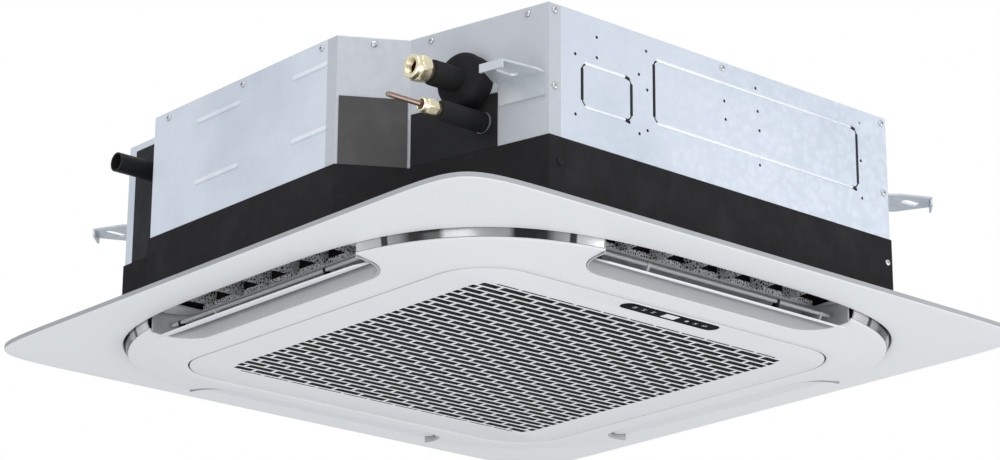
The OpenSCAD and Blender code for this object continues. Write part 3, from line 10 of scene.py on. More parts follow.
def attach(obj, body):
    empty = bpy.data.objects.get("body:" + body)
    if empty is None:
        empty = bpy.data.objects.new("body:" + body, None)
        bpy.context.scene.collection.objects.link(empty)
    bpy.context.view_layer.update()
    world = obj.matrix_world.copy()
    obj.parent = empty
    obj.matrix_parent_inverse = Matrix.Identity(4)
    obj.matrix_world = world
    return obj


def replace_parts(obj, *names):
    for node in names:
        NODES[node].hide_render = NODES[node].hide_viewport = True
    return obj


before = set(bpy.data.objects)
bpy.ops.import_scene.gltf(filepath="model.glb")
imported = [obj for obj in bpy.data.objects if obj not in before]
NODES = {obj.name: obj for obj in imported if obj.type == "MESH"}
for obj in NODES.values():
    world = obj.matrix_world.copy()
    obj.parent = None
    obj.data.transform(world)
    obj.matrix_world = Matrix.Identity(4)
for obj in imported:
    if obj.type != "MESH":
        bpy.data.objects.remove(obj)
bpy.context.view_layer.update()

MM = 0.001
HANG_RISE = 165.0


def place(p):
    """A point in millimetres above the ceiling line, in the frame's metres."""
    return Vector((p[0] * MM, p[1] * MM, (p[2] - HANG_RISE) * MM))


# Finishes

COAT_ROUGHNESS = 0.08
TEXTURE_HIGH = 0.9
ROUGH_SPAN = (0.3, 0.7)
SIDE_SHADE_SPAN = (0.75, 0.35)
AO_SAMPLES = 6
AO_REACH = 0.9
BAND_REACH = math.radians(30.0)
BAND_BLUE = 1.01
WAVE_BUMP = 0.4
NOISE_ROUGH = 0.55


def node(tree, kind, **inputs):
    """A new node; an underscore in an input's name stands for a space."""
    made = tree.nodes.new(kind)
    for key, value in inputs.items():
        made.inputs[key.replace("_", " ")].default_value = value
    return made


class Finish:
    """A procedural material that is built up step by step."""

    def __init__(self, name, color, roughness=0.5, metallic=0.0, coat=0.0, specular=0.5):
        self.material = bpy.data.materials.new(name)
        self.material.use_nodes = True
        self.tree = self.material.node_tree
        self.shader = self.tree.nodes["Principled BSDF"]
        for key, value in (("Base Color", (*color, 1.0)), ("Roughness", roughness), ("Metallic", metallic),
                           ("Coat Weight", coat), ("Coat Roughness", COAT_ROUGHNESS),
                           ("Specular IOR Level", specular)):
            self.shader.inputs[key].default_value = value
        self.place = self.tree.nodes.new("ShaderNodeTexCoord").outputs["Object"]
        self.color = None
        self.normal = None
        self.base = color

    def link(self, out, into):
        self.tree.links.new(out, into)

    def noise(self, scale, detail=4.0, rough=NOISE_ROUGH, stretch=None):
        made = node(self.tree, "ShaderNodeTexNoise", Scale=scale, Detail=detail, Roughness=rough)
        where = self.place
        if stretch:
            mapping = node(self.tree, "ShaderNodeMapping", Scale=stretch)
            self.link(where, mapping.inputs["Vector"])
            where = mapping.outputs["Vector"]
        self.link(where, made.inputs["Vector"])
        return made.outputs["Fac"]

    def cells(self, scale, feature="F1"):
        made = node(self.tree, "ShaderNodeTexVoronoi", Scale=scale)
        made.feature = feature
        self.link(self.place, made.inputs["Vector"])
        return made

    def ramp(self, value, low, high, to_low=0.0, to_high=1.0):
        made = node(self.tree, "ShaderNodeMapRange", From_Min=low, From_Max=high, To_Min=to_low, To_Max=to_high)
        self.link(value, made.inputs["Value"])
        return made.outputs["Result"]

    def tint(self, fac, other):
        """Blends the colour so far towards another where fac is high."""
        mix = self.tree.nodes.new("ShaderNodeMix")
        mix.data_type = "RGBA"
        if self.color is None:
            mix.inputs["A"].default_value = (*self.base, 1.0)
        else:
            self.link(self.color, mix.inputs["A"])
        mix.inputs["B"].default_value = (*other, 1.0)
        self.link(fac, mix.inputs["Factor"])
        self.color = mix.outputs["Result"]
        self.link(self.color, self.shader.inputs["Base Color"])
        return self

    def mottle(self, other, scale, low, high, amount, detail=4.0, rough=NOISE_ROUGH, stretch=None):
        """Blends towards another colour where a noise is high."""
        return self.tint(self.ramp(self.noise(scale, detail, rough, stretch), low, high, 0.0, amount), other)

    def rough(self, fac, low, high):
        self.link(self.ramp(fac, *ROUGH_SPAN, low, high), self.shader.inputs["Roughness"])
        return self

    def bump(self, height, strength, distance):
        made = node(self.tree, "ShaderNodeBump", Strength=strength, Distance=distance)
        self.link(height, made.inputs["Height"])
        if self.normal is not None:
            self.link(self.normal, made.inputs["Normal"])
        self.normal = made.outputs["Normal"]
        self.link(self.normal, self.shader.inputs["Normal"])
        return self

    def maths(self, kind, *values):
        made = self.tree.nodes.new("ShaderNodeMath")
        made.operation = kind
        for i, value in enumerate(values):
            if isinstance(value, float):
                made.inputs[i].default_value = value
            else:
                self.link(value, made.inputs[i])
        return made.outputs["Value"]

    def size_along(self, vector, axis):
        """How large one part of a vector is, whichever way it points."""
        split = self.tree.nodes.new("ShaderNodeSeparateXYZ")
        self.link(vector, split.inputs["Vector"])
        return self.maths("ABSOLUTE", split.outputs[axis])

    def paint_side_shade(self, other, amount):
        """Painted shade: blends towards a darker colour on faces that stand upright."""
        facing = self.tree.nodes.new("ShaderNodeNewGeometry").outputs["Normal"]
        return self.tint(self.ramp(self.size_along(facing, "Z"), *SIDE_SHADE_SPAN, 0.0, amount), other)

    def painted_reflection_bands(self, stops):
        """Painted reflection along a polished corner: tones by the angle away from its middle, as a share of
        BAND_REACH.
        """
        x, y = self.size_along(self.place, "X"), self.size_along(self.place, "Y")
        away = self.maths("ABSOLUTE", self.maths("SUBTRACT", self.maths("ARCTAN2", y, x), math.pi / 4))
        ramp = self.tree.nodes.new("ShaderNodeValToRGB")
        self.link(self.maths("DIVIDE", away, BAND_REACH), ramp.inputs["Fac"])
        line = ramp.color_ramp.elements
        while len(line) < len(stops):
            line.new(0.5)
        for item, (at, tone) in zip(line, stops):
            item.position = at
            item.color = (tone, tone, tone * BAND_BLUE, 1.0)
        self.color = ramp.outputs["Color"]
        self.link(self.color, self.shader.inputs["Base Color"])
        return self

    def crossed_waves(self, scale, start, amount, tone, depth):
        """Two sets of waves at right angles, each with its tone and relief."""
        for turn in ("X", "Y"):
            wave = node(self.tree, "ShaderNodeTexWave", Scale=scale)
            wave.bands_direction = turn
            self.link(self.place, wave.inputs["Vector"])
            self.tint(self.ramp(wave.outputs["Fac"], start, TEXTURE_HIGH, 0.0, amount), tone)
            self.bump(wave.outputs["Fac"], WAVE_BUMP, depth)
        return self

    def paint_crease_shade(self, distance, other):
        """Painted shade: darkens creases, where little light comes in."""
        shade = node(self.tree, "ShaderNodeAmbientOcclusion", Distance=distance)
        shade.samples = AO_SAMPLES
        return self.tint(self.ramp(shade.outputs["AO"], 1.0, 1.0 - AO_REACH), other)


def scaled(color, factor, lift=0.0):
    return tuple(c * factor + lift for c in color)


def galvanised(name, base=(0.60, 0.655, 0.72), tone=0.0, shine=0.55, dull=0.0, flakes=(0.72, 0.76, 0.81)):
    """Zinc-coated sheet: crystals, cloudy patches, upright streaks and a fine grain."""
    f = Finish(name, tuple(c + tone for c in base), 0.38 + dull, metallic=shine)
    spangle = f.cells(95.0)
    f.tint(f.ramp(spangle.outputs["Color"], 0.15, 0.95, 0.0, 0.35), flakes)
    f.mottle((0.50, 0.55, 0.63), 6.0, 0.45, 0.75, 0.5, detail=3.0)
    f.mottle((0.78, 0.81, 0.84), 40.0, 0.62, 0.8, 0.35, detail=6.0, rough=0.6, stretch=(1.0, 1.0, 0.15))
    f.rough(spangle.outputs["Distance"], 0.30 + dull, 0.46 + dull)
    f.bump(f.noise(1.5, 1.0), 0.05, 0.02)
    f.bump(spangle.outputs["Distance"], 0.05, 0.001)
    f.bump(f.noise(900.0, 2.0), 0.05, 0.0002)
    return f.material


def moulded(name, color, roughness=0.42, crease_shade=(0.55, 0.56, 0.57), side_shade=0.0):
    """Moulded plastic with a fine grain, and painted shade that darkens its creases."""
    f = Finish(name, color, roughness)
    # Painted shade on the upright faces, when asked for.
    if side_shade:
        f.paint_side_shade((0.26, 0.27, 0.28), side_shade)
    f.mottle(scaled(color, 0.93), 9.0, 0.4, 0.75, 0.10, detail=3.0)
    f.mottle(scaled(color, 0.88), 260.0, 0.55, 0.8, 0.06, detail=2.0)
    # Painted shade in the creases.
    f.paint_crease_shade(0.006, crease_shade)
    f.rough(f.noise(35.0), roughness - 0.05, roughness + 0.06)
    f.bump(f.noise(1.6, 2.0), 0.05, 0.02)
    f.bump(f.noise(1400.0, 2.0, 0.6), 0.25, 0.00006)
    return f.material


def foam(name, color, cell=420.0):
    f = Finish(name, color, 0.86, specular=0.25)
    beads = f.cells(cell)
    f.tint(f.ramp(beads.outputs["Distance"], 0.2, TEXTURE_HIGH, 0.0, 0.5), scaled(color, 0.6))
    f.mottle(scaled(color, 1.7, 0.01), 14.0, 0.5, 0.75, 0.4)
    f.rough(f.noise(60.0), 0.78, 0.92)
    f.bump(beads.outputs["Distance"], 0.35, 0.0006)
    f.bump(f.noise(8.0, 3.0), 0.2, 0.004)
    return f.material


def plain_metal(name, color, roughness, scratches=(1.0, 1.0, 1.0), dirt=(0.3, 0.26, 0.2), amount=0.3):
    """Bare metal with stains, fine scratches, and painted shade that darkens its creases."""
    f = Finish(name, color, roughness, metallic=1.0)
    f.mottle(dirt, 55.0, 0.5, 0.75, amount, detail=5.0, rough=0.6)
    f.mottle(tuple(min(1.0, c * 1.25) for c in color), 300.0, 0.55, 0.8, 0.25, detail=3.0, rough=0.5,
             stretch=scratches)
    # Painted shade in the creases.
    f.paint_crease_shade(0.003, scaled(color, 0.4))
    f.rough(f.noise(90.0), roughness - 0.06, roughness + 0.12)
    f.bump(f.noise(500.0, 3.0, 0.6, scratches), 0.12, 0.0002)
    return f.material


def dark_plastic(name, color, roughness=0.5, specular=0.4):
    f = Finish(name, color, roughness, specular=specular)
    f.mottle(scaled(color, 1.6, 0.01), 20.0, 0.5, 0.8, 0.5)
    f.rough(f.noise(70.0), roughness - 0.08, roughness + 0.1)
    f.bump(f.noise(900.0, 2.0), 0.25, 0.00015)
    return f.material


def net(name, color):
    return Finish(name, color, 0.6).crossed_waves(260.0, 0.55, 0.6, scaled(color, 2.4), 0.0003).material


def honeycomb(name, light, hole_shade):
    f = Finish(name, light, 0.55)
    beads = f.cells(270.0, "DISTANCE_TO_EDGE")
    # The cells' middles are near-black: painted shade in the openings.
    f.tint(f.ramp(beads.outputs["Distance"], 0.12, 0.24), hole_shade)
    f.mottle(scaled(light, 0.7), 30.0, 0.5, 0.8, 0.4, detail=3.0)
    f.bump(f.ramp(beads.outputs["Distance"], 0.08, 0.3, 1.0, 0.0), 0.5, 0.0006)
    return f.material


def finned(name):
    f = Finish(name, (0.60, 0.64, 0.68), 0.4, metallic=0.8)
    return f.crossed_waves(110.0, 0.5, 0.5, (0.12, 0.13, 0.14), 0.001).material


def polished_trim(name):
    """Bright trim with a painted reflection; its stops are the pale and near-black bands of a studio along the bend."""
    f = Finish(name, (0.5, 0.5, 0.5), 0.16, metallic=0.45, coat=0.15)
    f.painted_reflection_bands(TRIM_REFLECTION_STOPS)
    f.mottle((0.3, 0.3, 0.3), 25.0, 0.5, 0.8, 0.15, detail=3.0)
    f.rough(f.noise(60.0), 0.14, 0.24)
    f.bump(f.noise(5.0, 2.0), 0.03, 0.01)
    return f.material


# A finish that glows faintly by itself: painted light.
def lit(name, color, strength):
    f = Finish(name, color, 0.3)
    f.shader.inputs["Emission Color"].default_value = (*color, 1.0)
    f.shader.inputs["Emission Strength"].default_value = strength
    f.mottle(scaled(color, 0.8), 400.0, 0.4, 0.8, 0.1)
    return f.material


WHITE = moulded("white_moulding", (0.85, 0.855, 0.85))
# The panel's upright rim faces get painted shade.
PANEL_WHITE = moulded("panel_moulding", (0.87, 0.88, 0.875), side_shade=0.85)
INNER_WHITE = moulded("inner_white", (0.72, 0.73, 0.74), 0.5)
LOUVER_WHITE = moulded("louver_white", (0.80, 0.805, 0.81), 0.36)
# Painted reflection: near-black and pale bands along the trims.
TRIM_REFLECTION_STOPS = ((0.0, 0.42), (0.14, 0.36), (0.17, 0.01), (0.31, 0.01), (0.36, 0.30), (0.42, 0.42),
              (0.425, 0.02), (0.455, 0.03), (0.46, 0.55), (0.6, 0.72), (1.0, 0.66))
TRIM = polished_trim("trim_gloss")
SHAFT_GREY = moulded("shaft_grey", (0.74, 0.745, 0.75), 0.3)
# Near-black walls inside the grille's slots: painted shade.
SLOT_SHADE = dark_plastic("grille_slot_shade", (0.028, 0.028, 0.027), 0.6)
# A grey copy of the white moulding with near-black creases: painted shade inside the outlets.
OUTLET_SHADED_GREY = moulded("outlet_grey", (0.50, 0.505, 0.515), 0.34, crease_shade=(0.07, 0.07, 0.075))
# Outlet vanes: pale walls with painted shade in the cells.
VANE = honeycomb("vane_mesh", (0.90, 0.91, 0.92), (0.03, 0.03, 0.032))
SHEET = galvanised("galvanised_sheet", tone=0.04)
# A lighter copy of the same sheet for the left, right and back plates and boxes: painted light.
SHEET_SIDE_LIT = galvanised("galvanised_side_lit", tone=0.16)
# A darker copy of the same sheet on the pipe corner: painted shade.
SHEET_CORNER_SHADED = galvanised("galvanised_corner_shaded", (0.50, 0.52, 0.55), shine=0.15, dull=0.15, flakes=(0.55, 0.57, 0.60))
# A pale copy of the sheet for pressed crests and edges: painted highlight.
PRESSED_HIGHLIGHT = galvanised("galvanised_pressed_highlight", (0.88, 0.90, 0.93), shine=0.25, dull=-0.08)
BRACKET = galvanised("galvanised_bracket", (0.62, 0.65, 0.68))
PAN_FOAM = foam("pan_foam", (0.013, 0.012, 0.013))
PIPE_FOAM = foam("pipe_foam", (0.012, 0.012, 0.013), 700.0)
LINING = foam("lining_foam", (0.06, 0.06, 0.065))
BLACK = dark_plastic("black_plastic", (0.010, 0.010, 0.0105), specular=0.25)
STEEL = plain_metal("screw_steel", (0.66, 0.67, 0.68), 0.32, amount=0.15)
COPPER = plain_metal("copper_tube", (0.72, 0.38, 0.24), 0.3, (1.0, 6.0, 6.0), (0.25, 0.12, 0.08), 0.35)
# Brass made paler than its own colour to brighten the nuts' highlight: partly painted highlight.
BRASS_WITH_SHEEN = plain_metal("turned_brass", (1.0, 0.90, 0.62), 0.3, (8.0, 1.0, 1.0), (0.55, 0.38, 0.18), 0.25)
AGED_COPPER = plain_metal("aged_copper", (0.34, 0.25, 0.20), 0.3, (1.0, 6.0, 6.0), (0.12, 0.08, 0.06), 0.4)
MOTOR = plain_metal("motor_metal", (0.5, 0.51, 0.52), 0.45)
FAN = moulded("fan_plastic", (0.40, 0.43, 0.45), 0.5, crease_shade=(0.1, 0.11, 0.12))
PUMP = moulded("pump_plastic", (0.62, 0.62, 0.58), 0.5)
NET = net("filter_net", (0.028, 0.030, 0.033))
FINS = finned("coil_fins")
BOARD = dark_plastic("board_green", (0.03, 0.16, 0.08), 0.4)
HOSE = dark_plastic("hose_grey", (0.22, 0.24, 0.26), 0.6)
FLOAT = moulded("float_orange", (0.75, 0.30, 0.05), 0.5)
WINDOW = dark_plastic("window_black", (0.006, 0.006, 0.007), 0.6, specular=0.03)
# The window symbols glow faintly: painted light.
ICON = lit("window_icons", (0.42, 0.44, 0.46), 0.3)
RECEIVER = dark_plastic("receiver_tint", (0.86, 0.86, 0.87), 0.5)
SIDE_COVER = dark_plastic("side_cover_plastic", (0.065, 0.063, 0.063), 0.55, specular=0.25)

CARRIED = {
    SHEET: ["front_plate", "top_plate", "corner_plates"],
    SHEET_SIDE_LIT: ["right_plate", "back_plate", "left_plate", "drain_corner_plate",
                 "control_box", "control_lid", "coil_ends"],
    SHEET_CORNER_SHADED: ["pipe_corner_plate"],
    BRACKET: ["hangers"],
    PAN_FOAM: ["drain_pan"],
    PIPE_FOAM: ["pipe_insulation"],
    LINING: ["roof_lining", "wall_lining", "panel_seal"],
    BLACK: ["pipe_cover", "drain_cover", "drain_pipe", "grille_catches"],
    SIDE_COVER: ["side_cover"],
    STEEL: ["casing_screws", "hinge_pins", "panel_bolts", "fan_shaft", "fan_nut"],
    COPPER: ["gas_pipe", "coil_pipes"],
    AGED_COPPER: ["liquid_pipe"],
    BRASS_WITH_SHEEN: ["gas_nut", "liquid_nut"],
    MOTOR: ["fan_motor", "swing_motors"],
    FAN: ["turbo_fan"],
    PUMP: ["drain_pump", "float_switch", "pump_impeller"],
    FLOAT: ["float"],
    NET: ["air_filter"],
    FINS: ["coil"],
    BOARD: ["control_board", "display_board"],
    HOSE: ["drain_hose"],
    INNER_WHITE: ["bell_mouth", "panel_chassis", "opening_frame"],
    OUTLET_SHADED_GREY: ["outlet_ducts"],
    VANE: ["outlet_vanes"],
    WHITE: ["island_frame", "intake_grille"],
    PANEL_WHITE: ["panel_frame"],
    LOUVER_WHITE: ["front_louver", "right_louver", "back_louver", "left_louver"],
    TRIM: ["corner_trims"],
    WINDOW: ["display_window"],
}
for material, names in CARRIED.items():
    for name in names:
        slots = NODES[name].data.materials
        slots.clear()
        slots.append(material)


# Mesh helpers

WELD = 1e-7
BEVEL_STEPS = 3
BEVEL_ANGLE = math.radians(30)


def linked(name, data):
    made = bpy.data.objects.new(name, data)
    bpy.context.scene.collection.objects.link(made)
    return made


def piece(name, points, faces, material, body, smooth=38.0, bevel=0.0):
    """A smooth-shaded mesh on a body; edges past smooth degrees stay sharp, bevel is in millimetres."""
    mesh = bpy.data.meshes.new(name)
    mesh.from_pydata([place(p) for p in points], [], faces)
    made = linked(name, mesh)
    clean = bmesh.new()
    clean.from_mesh(mesh)
    bmesh.ops.remove_doubles(clean, verts=clean.verts, dist=WELD)
    bmesh.ops.recalc_face_normals(clean, faces=clean.faces)
    clean.to_mesh(mesh)
    clean.free()
    mesh.materials.append(material)
    mesh.shade_smooth()
    mesh.set_sharp_from_angle(angle=math.radians(smooth))
    if bevel:
        edge = made.modifiers.new("edge", "BEVEL")
        edge.width = bevel * MM
        edge.segments = BEVEL_STEPS
        edge.limit_method = "ANGLE"
        edge.angle_limit = BEVEL_ANGLE
    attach(made, body)
    return made


def ring_faces(count, rings, closed_rings=True):
    """Quads between rings that each have count points."""
    faces = []
    for j in range(rings if closed_rings else rings - 1):
        for i in range(count):
            a, b = j * count + i, j * count + (i + 1) % count
            c, d = ((j + 1) % rings) * count + i, ((j + 1) % rings) * count + (i + 1) % count
            faces.append((a, c, d, b))
    return faces


def band(a, b, n):
    """Quads between two closed rings of n points that start at a and b."""
    return [(a + i, a + (i + 1) % n, b + (i + 1) % n, b + i) for i in range(n)]


def caps(first, last, n):
    """The two end faces of a run of rings of n points."""
    return [tuple(range(first, first + n)), tuple(reversed(range(last, last + n)))]


def circle(count):
    return [2 * math.pi * i / count for i in range(count)]


def polar(r, a):
    return Vector((r * math.cos(a), r * math.sin(a)))


def reach(half, power, angle):
    """Distance from the middle to a superellipse, in one direction."""
    return half / (abs(math.cos(angle)) ** power + abs(math.sin(angle)) ** power) ** (1.0 / power)


def ring_at(half, power, z, angles):
    return [(*(reach(half, power, a) * Vector((math.cos(a), math.sin(a)))), z) for a in angles]


def turned(p, k):
    """A point after k quarter turns."""
    x, y = p[0], p[1]
    for _ in range(k):
        x, y = -y, x
    return (x, y, *p[2:])


CROWDING = 0.6


def crowded(steps):
    """Angles round a square outline that crowd towards its corners."""
    angles = []
    for quarter in range(4):
        for i in range(steps):
            s = 2.0 * i / steps - 1.0
            angles.append(math.radians(90 * quarter + 45 + 45 * s * abs(s) ** CROWDING))
    return angles


# Panel

PANEL_HALF = 475.0
RIM_POWER = 17.0
LIP_HALF = 420.0
LIP_POWER = 3.5
LIP_Z = 10.0
RIM_H = 6.5
FACE_Z = 31.0
PANEL_T = 2.5
CHASSIS_Z = 3.8


RIM_R = 2.2
LIP_R = 1.8
ARC = [math.radians(15 * i) for i in range(7)]
LIP_TOP = LIP_HALF + LIP_R
SHELL_STEPS = 48
SHELL_SHARES = (0.15, 0.35, 0.55, 0.75, 0.9)
SHELL_BACK = ((LIP_HALF, LIP_POWER, CHASSIS_Z), (LIP_HALF + PANEL_T, LIP_POWER, CHASSIS_Z),
              (LIP_HALF + PANEL_T, LIP_POWER, -LIP_Z + 4.0), (PANEL_HALF - 7.5, RIM_POWER, -4.0),
              (PANEL_HALF - 5.0, RIM_POWER, 0.0))


def panel_shell():
    """The rim: its rounded outer edge, the face that falls to the lip, the rounded lip and the back."""
    angles = crowded(SHELL_STEPS)
    rings = [ring_at(PANEL_HALF, RIM_POWER, 0.0, angles)]
    for a in ARC:
        rings.append(ring_at(PANEL_HALF - RIM_R * (1 - math.cos(a)), RIM_POWER,
                             -RIM_H + RIM_R - RIM_R * math.sin(a), angles))
    outer, lip = rings[-1], ring_at(LIP_TOP, LIP_POWER, -LIP_Z, angles)
    for s in SHELL_SHARES:
        rings.append([tuple(Vector(p).lerp(Vector(q), s)) for p, q in zip(outer, lip)])
    for a in ARC:
        rings.append(ring_at(LIP_TOP - LIP_R * math.sin(a), LIP_POWER, -LIP_Z + LIP_R * (1 - math.cos(a)), angles))
    rings += [ring_at(*section, angles) for section in SHELL_BACK]
    made = piece("panel_shell", [p for r in rings for p in r], ring_faces(len(angles), len(rings)), PANEL_WHITE, "unit")
    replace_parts(made, "panel_frame")


panel_shell()


# Island, corner trims and outlets

ISLAND_EDGE_Z = 21.0
TRIM_TOP = 418.5
TRIM_LOW = 415.5
ISLAND_HALF = 414.5
ISLAND_FLAT = 318.0
OPENING_HALF = 308.0
OPENING_R = 73.0
OUTLET_LEN = 408.0
OUTLET_IN = 345.0
OUTLET_R = 45.0
FLAT_POWER = 9.0
INNER_SHARE = 0.96
EDGE_STEPS = 16
CORNER_STEPS = 48
ISLAND_SOFT = 0.9
EDGE_TURNS = (30, 60, 90)
FACE_SHARES = (0.12, 0.4, 0.7, 0.9)
OPENING_EDGE = ((1.2, 0.0), (0.35, 0.35), (0.0, 1.2), (0.0, PANEL_T + 0.3))
TRIM_GAP = 3.0
TRIM_PROFILE = ((TRIM_TOP, CHASSIS_Z), (TRIM_TOP, -7.0), (TRIM_TOP - 0.35, -9.5), (TRIM_TOP - 1.2, -13.0),
                (TRIM_LOW, -18.3), (TRIM_LOW - 1.6, -18.3), (TRIM_TOP - 2.8, -12.8), (TRIM_TOP - 1.7, -7.0),
                (TRIM_TOP - 1.6, CHASSIS_Z))


def island_z(p):
    """Height of the island's face: flat inside, rising towards its edge."""
    a = math.atan2(p[1], p[0])
    low, high = reach(ISLAND_FLAT, FLAT_POWER, a), reach(ISLAND_HALF, LIP_POWER, a)
    share = max(0.0, min(1.0, (Vector(p[:2]).length - low) / (high - low)))
    return -FACE_Z + (FACE_Z - ISLAND_EDGE_Z) * share


def angle_past(half, distance):
    """Direction in which a superellipse is this far from its middle line."""
    return math.atan2(distance, half * (1 - (distance / half) ** LIP_POWER) ** (1 / LIP_POWER))


def corner_reach(way):
    """Distance from the outlets' corner to the grille opening, in one direction."""
    c, pivot = OPENING_HALF - OPENING_R, OUTLET_LEN / 2
    long, short = max(way), min(way)
    side = OPENING_HALF - pivot
    if pivot + side * short / long <= c:
        return side / long
    d = Vector((pivot - c, pivot - c))
    along = -d.dot(way)
    return along + math.sqrt(along * along - d.length_squared + OPENING_R ** 2)


def island_outline():
    """The island's outer edge and the matching points on the grille opening, both anticlockwise."""
    edge, inner = [], []
    pivot = Vector((OUTLET_LEN / 2, OUTLET_LEN / 2))
    centre_x, centre_y = OUTLET_IN + OUTLET_R, OUTLET_LEN / 2 - OUTLET_R
    quarter = [90.0 * i / EDGE_STEPS for i in range(EDGE_STEPS + 1)]
    outlet = [Vector((centre_x, -centre_y)) + polar(OUTLET_R, math.radians(270 - q)) for q in quarter]
    outlet += [Vector((OUTLET_IN, centre_y * s / 5)) for s in range(-4, 5)]
    outlet += [Vector((centre_x, centre_y)) + polar(OUTLET_R, math.radians(180 - q)) for q in quarter]
    start = angle_past(ISLAND_HALF, OUTLET_LEN / 2)
    turns = [start + (math.pi / 2 - 2 * start) * i / CORNER_STEPS for i in range(CORNER_STEPS + 1)]
    corner = [polar(reach(ISLAND_HALF, LIP_POWER, a), a) for a in turns]
    for k in range(4):
        for p in outlet:
            edge.append(turned(p, k))
            inner.append(turned((OPENING_HALF, p.y * INNER_SHARE), k))
        for p in corner:
            way = (p - pivot).normalized()
            edge.append(turned(p, k))
            inner.append(turned(pivot + corner_reach(way) * way, k))
    return [Vector(p) for p in edge], [Vector(p) for p in inner]


def island_shell():
    edge, inner = island_outline()
    ways = [(e - i).normalized() for e, i in zip(edge, inner)]
    count = len(edge)
    outward = []
    for i in range(count):
        run = edge[(i + 1) % count] - edge[i - 1]
        outward.append(Vector((run.y, -run.x)).normalized())
    flat = [i + w * (ISLAND_FLAT - OPENING_HALF) for i, w in zip(inner, ways)]
    soft = ISLAND_SOFT
    rings = [[(*e, island_z(e) + PANEL_T) for e in edge], [(*e, island_z(e) + soft) for e in edge]]
    for t in EDGE_TURNS:
        s, c = math.sin(math.radians(t)), math.cos(math.radians(t))
        rings.append([(*(e - w * soft * (1 - c)), island_z(e) + soft * (1 - s)) for e, w in zip(edge, outward)])
    for share in FACE_SHARES:
        rings.append([(*e.lerp(f, share), island_z(e) - (FACE_Z + island_z(e)) * share) for e, f in zip(edge, flat)])
    rings.append([(*f, -FACE_Z) for f in flat])
    for grow, rise in OPENING_EDGE:
        rings.append([(*(i + w * grow), -FACE_Z + rise) for i, w in zip(inner, ways)])
    rings.append([(*f, -FACE_Z + PANEL_T) for f in flat])
    made = piece("island_shell", [p for r in rings for p in r], ring_faces(count, len(rings)), WHITE, "unit", smooth=50)
    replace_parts(made, "island_frame")


def corner_trim(k):
    """Glossy wall round one corner, between the lip and the island."""
    start = angle_past(TRIM_LOW, OUTLET_LEN / 2 + TRIM_GAP)
    rings = []
    for i in range(CORNER_STEPS + 1):
        a = start + (math.pi / 2 - 2 * start) * i / CORNER_STEPS
        rings.append([(*turned(polar(reach(h, LIP_POWER, a), a), k), z) for h, z in TRIM_PROFILE])
    count = len(TRIM_PROFILE)
    faces = ring_faces(count, len(rings), closed_rings=False) + caps(0, (len(rings) - 1) * count, count)
    return piece(f"corner_trim_{k}", [p for r in rings for p in r], faces, TRIM, "unit", smooth=30)


island_shell()
for k in range(4):
    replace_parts(corner_trim(k), "corner_trims")


# Louvers

PIVOT_OUT = 373.0
PIVOT_Z = -10.0
REST_OPEN = [math.radians(35.0), 0.0, 0.0, math.radians(35.0)]
BLADE_IN = 353.0
BLADE_LEN = 64.5
BLADE_OUT = 417.5
BLADE_R = 37.0
BLADE_HALF = 196.0
BLADE_T = 2.4
BLADE_DROP, BLADE_RISE, BLADE_SAG = 13.0, 12.0, 6.0
BLADE_COLUMNS, BLADE_ROWS = 96, 14
SHAFT_ENDS = ((-203.1, 2.1), (-202.7, 2.5), (212.1, 2.5), (212.5, 2.1))
SHAFT_SIDES = 24
CLIP_OUTLINE = ((-4.6, -8.2), (4.6, -9.4), (3.4, -1.0), (3.1, 1.2), (1.9, 2.9), (-1.9, 2.9), (-3.1, 1.2), (-3.4, -1.0))
CLIP_HALF_W = 2.0
CLIP_PLACES = (-182.8, 108.1)
SADDLE_PLACES = (-108.1, 182.8)
SIDES = ["front", "right", "back", "left"]


def opened(p, k):
    """A point of the front side's closed louver, swung to rest and turned to side k."""
    y, z = p[1] + PIVOT_OUT, p[2] - PIVOT_Z
    c, s = math.cos(REST_OPEN[k]), math.sin(REST_OPEN[k])
    return turned((p[0], y * c - z * s - PIVOT_OUT, y * s + z * c + PIVOT_Z), k)


def blade_z(v):
    """Height of the closed blade's face at one distance from the middle of the panel."""
    s = (v - BLADE_IN) / BLADE_LEN
    return PIVOT_Z - BLADE_DROP + BLADE_RISE * s - BLADE_SAG * s * (1 - s)


def louver_blade(k):
    """A thin curved blade whose outline follows the outlet and the lip."""
    half, r, out = BLADE_HALF, BLADE_R, BLADE_OUT
    columns, rows = BLADE_COLUMNS, BLADE_ROWS
    top, low = [], []
    for i in range(columns + 1):
        u = half * math.sin(math.pi * (i / columns - 0.5))
        past = max(0.0, abs(u) - (half - r))
        v_in = max(BLADE_IN, OUTLET_IN + OUTLET_R - math.sqrt(max(0.0, r * r - past * past)))
        v_out = out * (1 - (abs(u) / out) ** LIP_POWER) ** (1 / LIP_POWER)
        for j in range(rows + 1):
            v = v_in + (v_out - v_in) * j / rows
            low.append(opened((u, -v, blade_z(v)), k))
            top.append(opened((u, -v, blade_z(v) + BLADE_T), k))
    n = len(low)
    faces = []
    for i in range(columns):
        for j in range(rows):
            a, b = i * (rows + 1) + j, (i + 1) * (rows + 1) + j
            faces.append((a, a + 1, b + 1, b))
            faces.append((n + a, n + b, n + b + 1, n + a + 1))
    rim = list(range(rows + 1)) + [i * (rows + 1) + rows for i in range(1, columns + 1)]
    rim += [columns * (rows + 1) + j for j in reversed(range(rows))]
    rim += [i * (rows + 1) for i in reversed(range(1, columns))]
    for a, b in zip(rim, rim[1:] + rim[:1]):
        faces.append((a, b, n + b, n + a))
    return piece(f"louver_blade_{SIDES[k]}", low + top, faces, LOUVER_WHITE, f"louver_{SIDES[k]}", bevel=0.9)


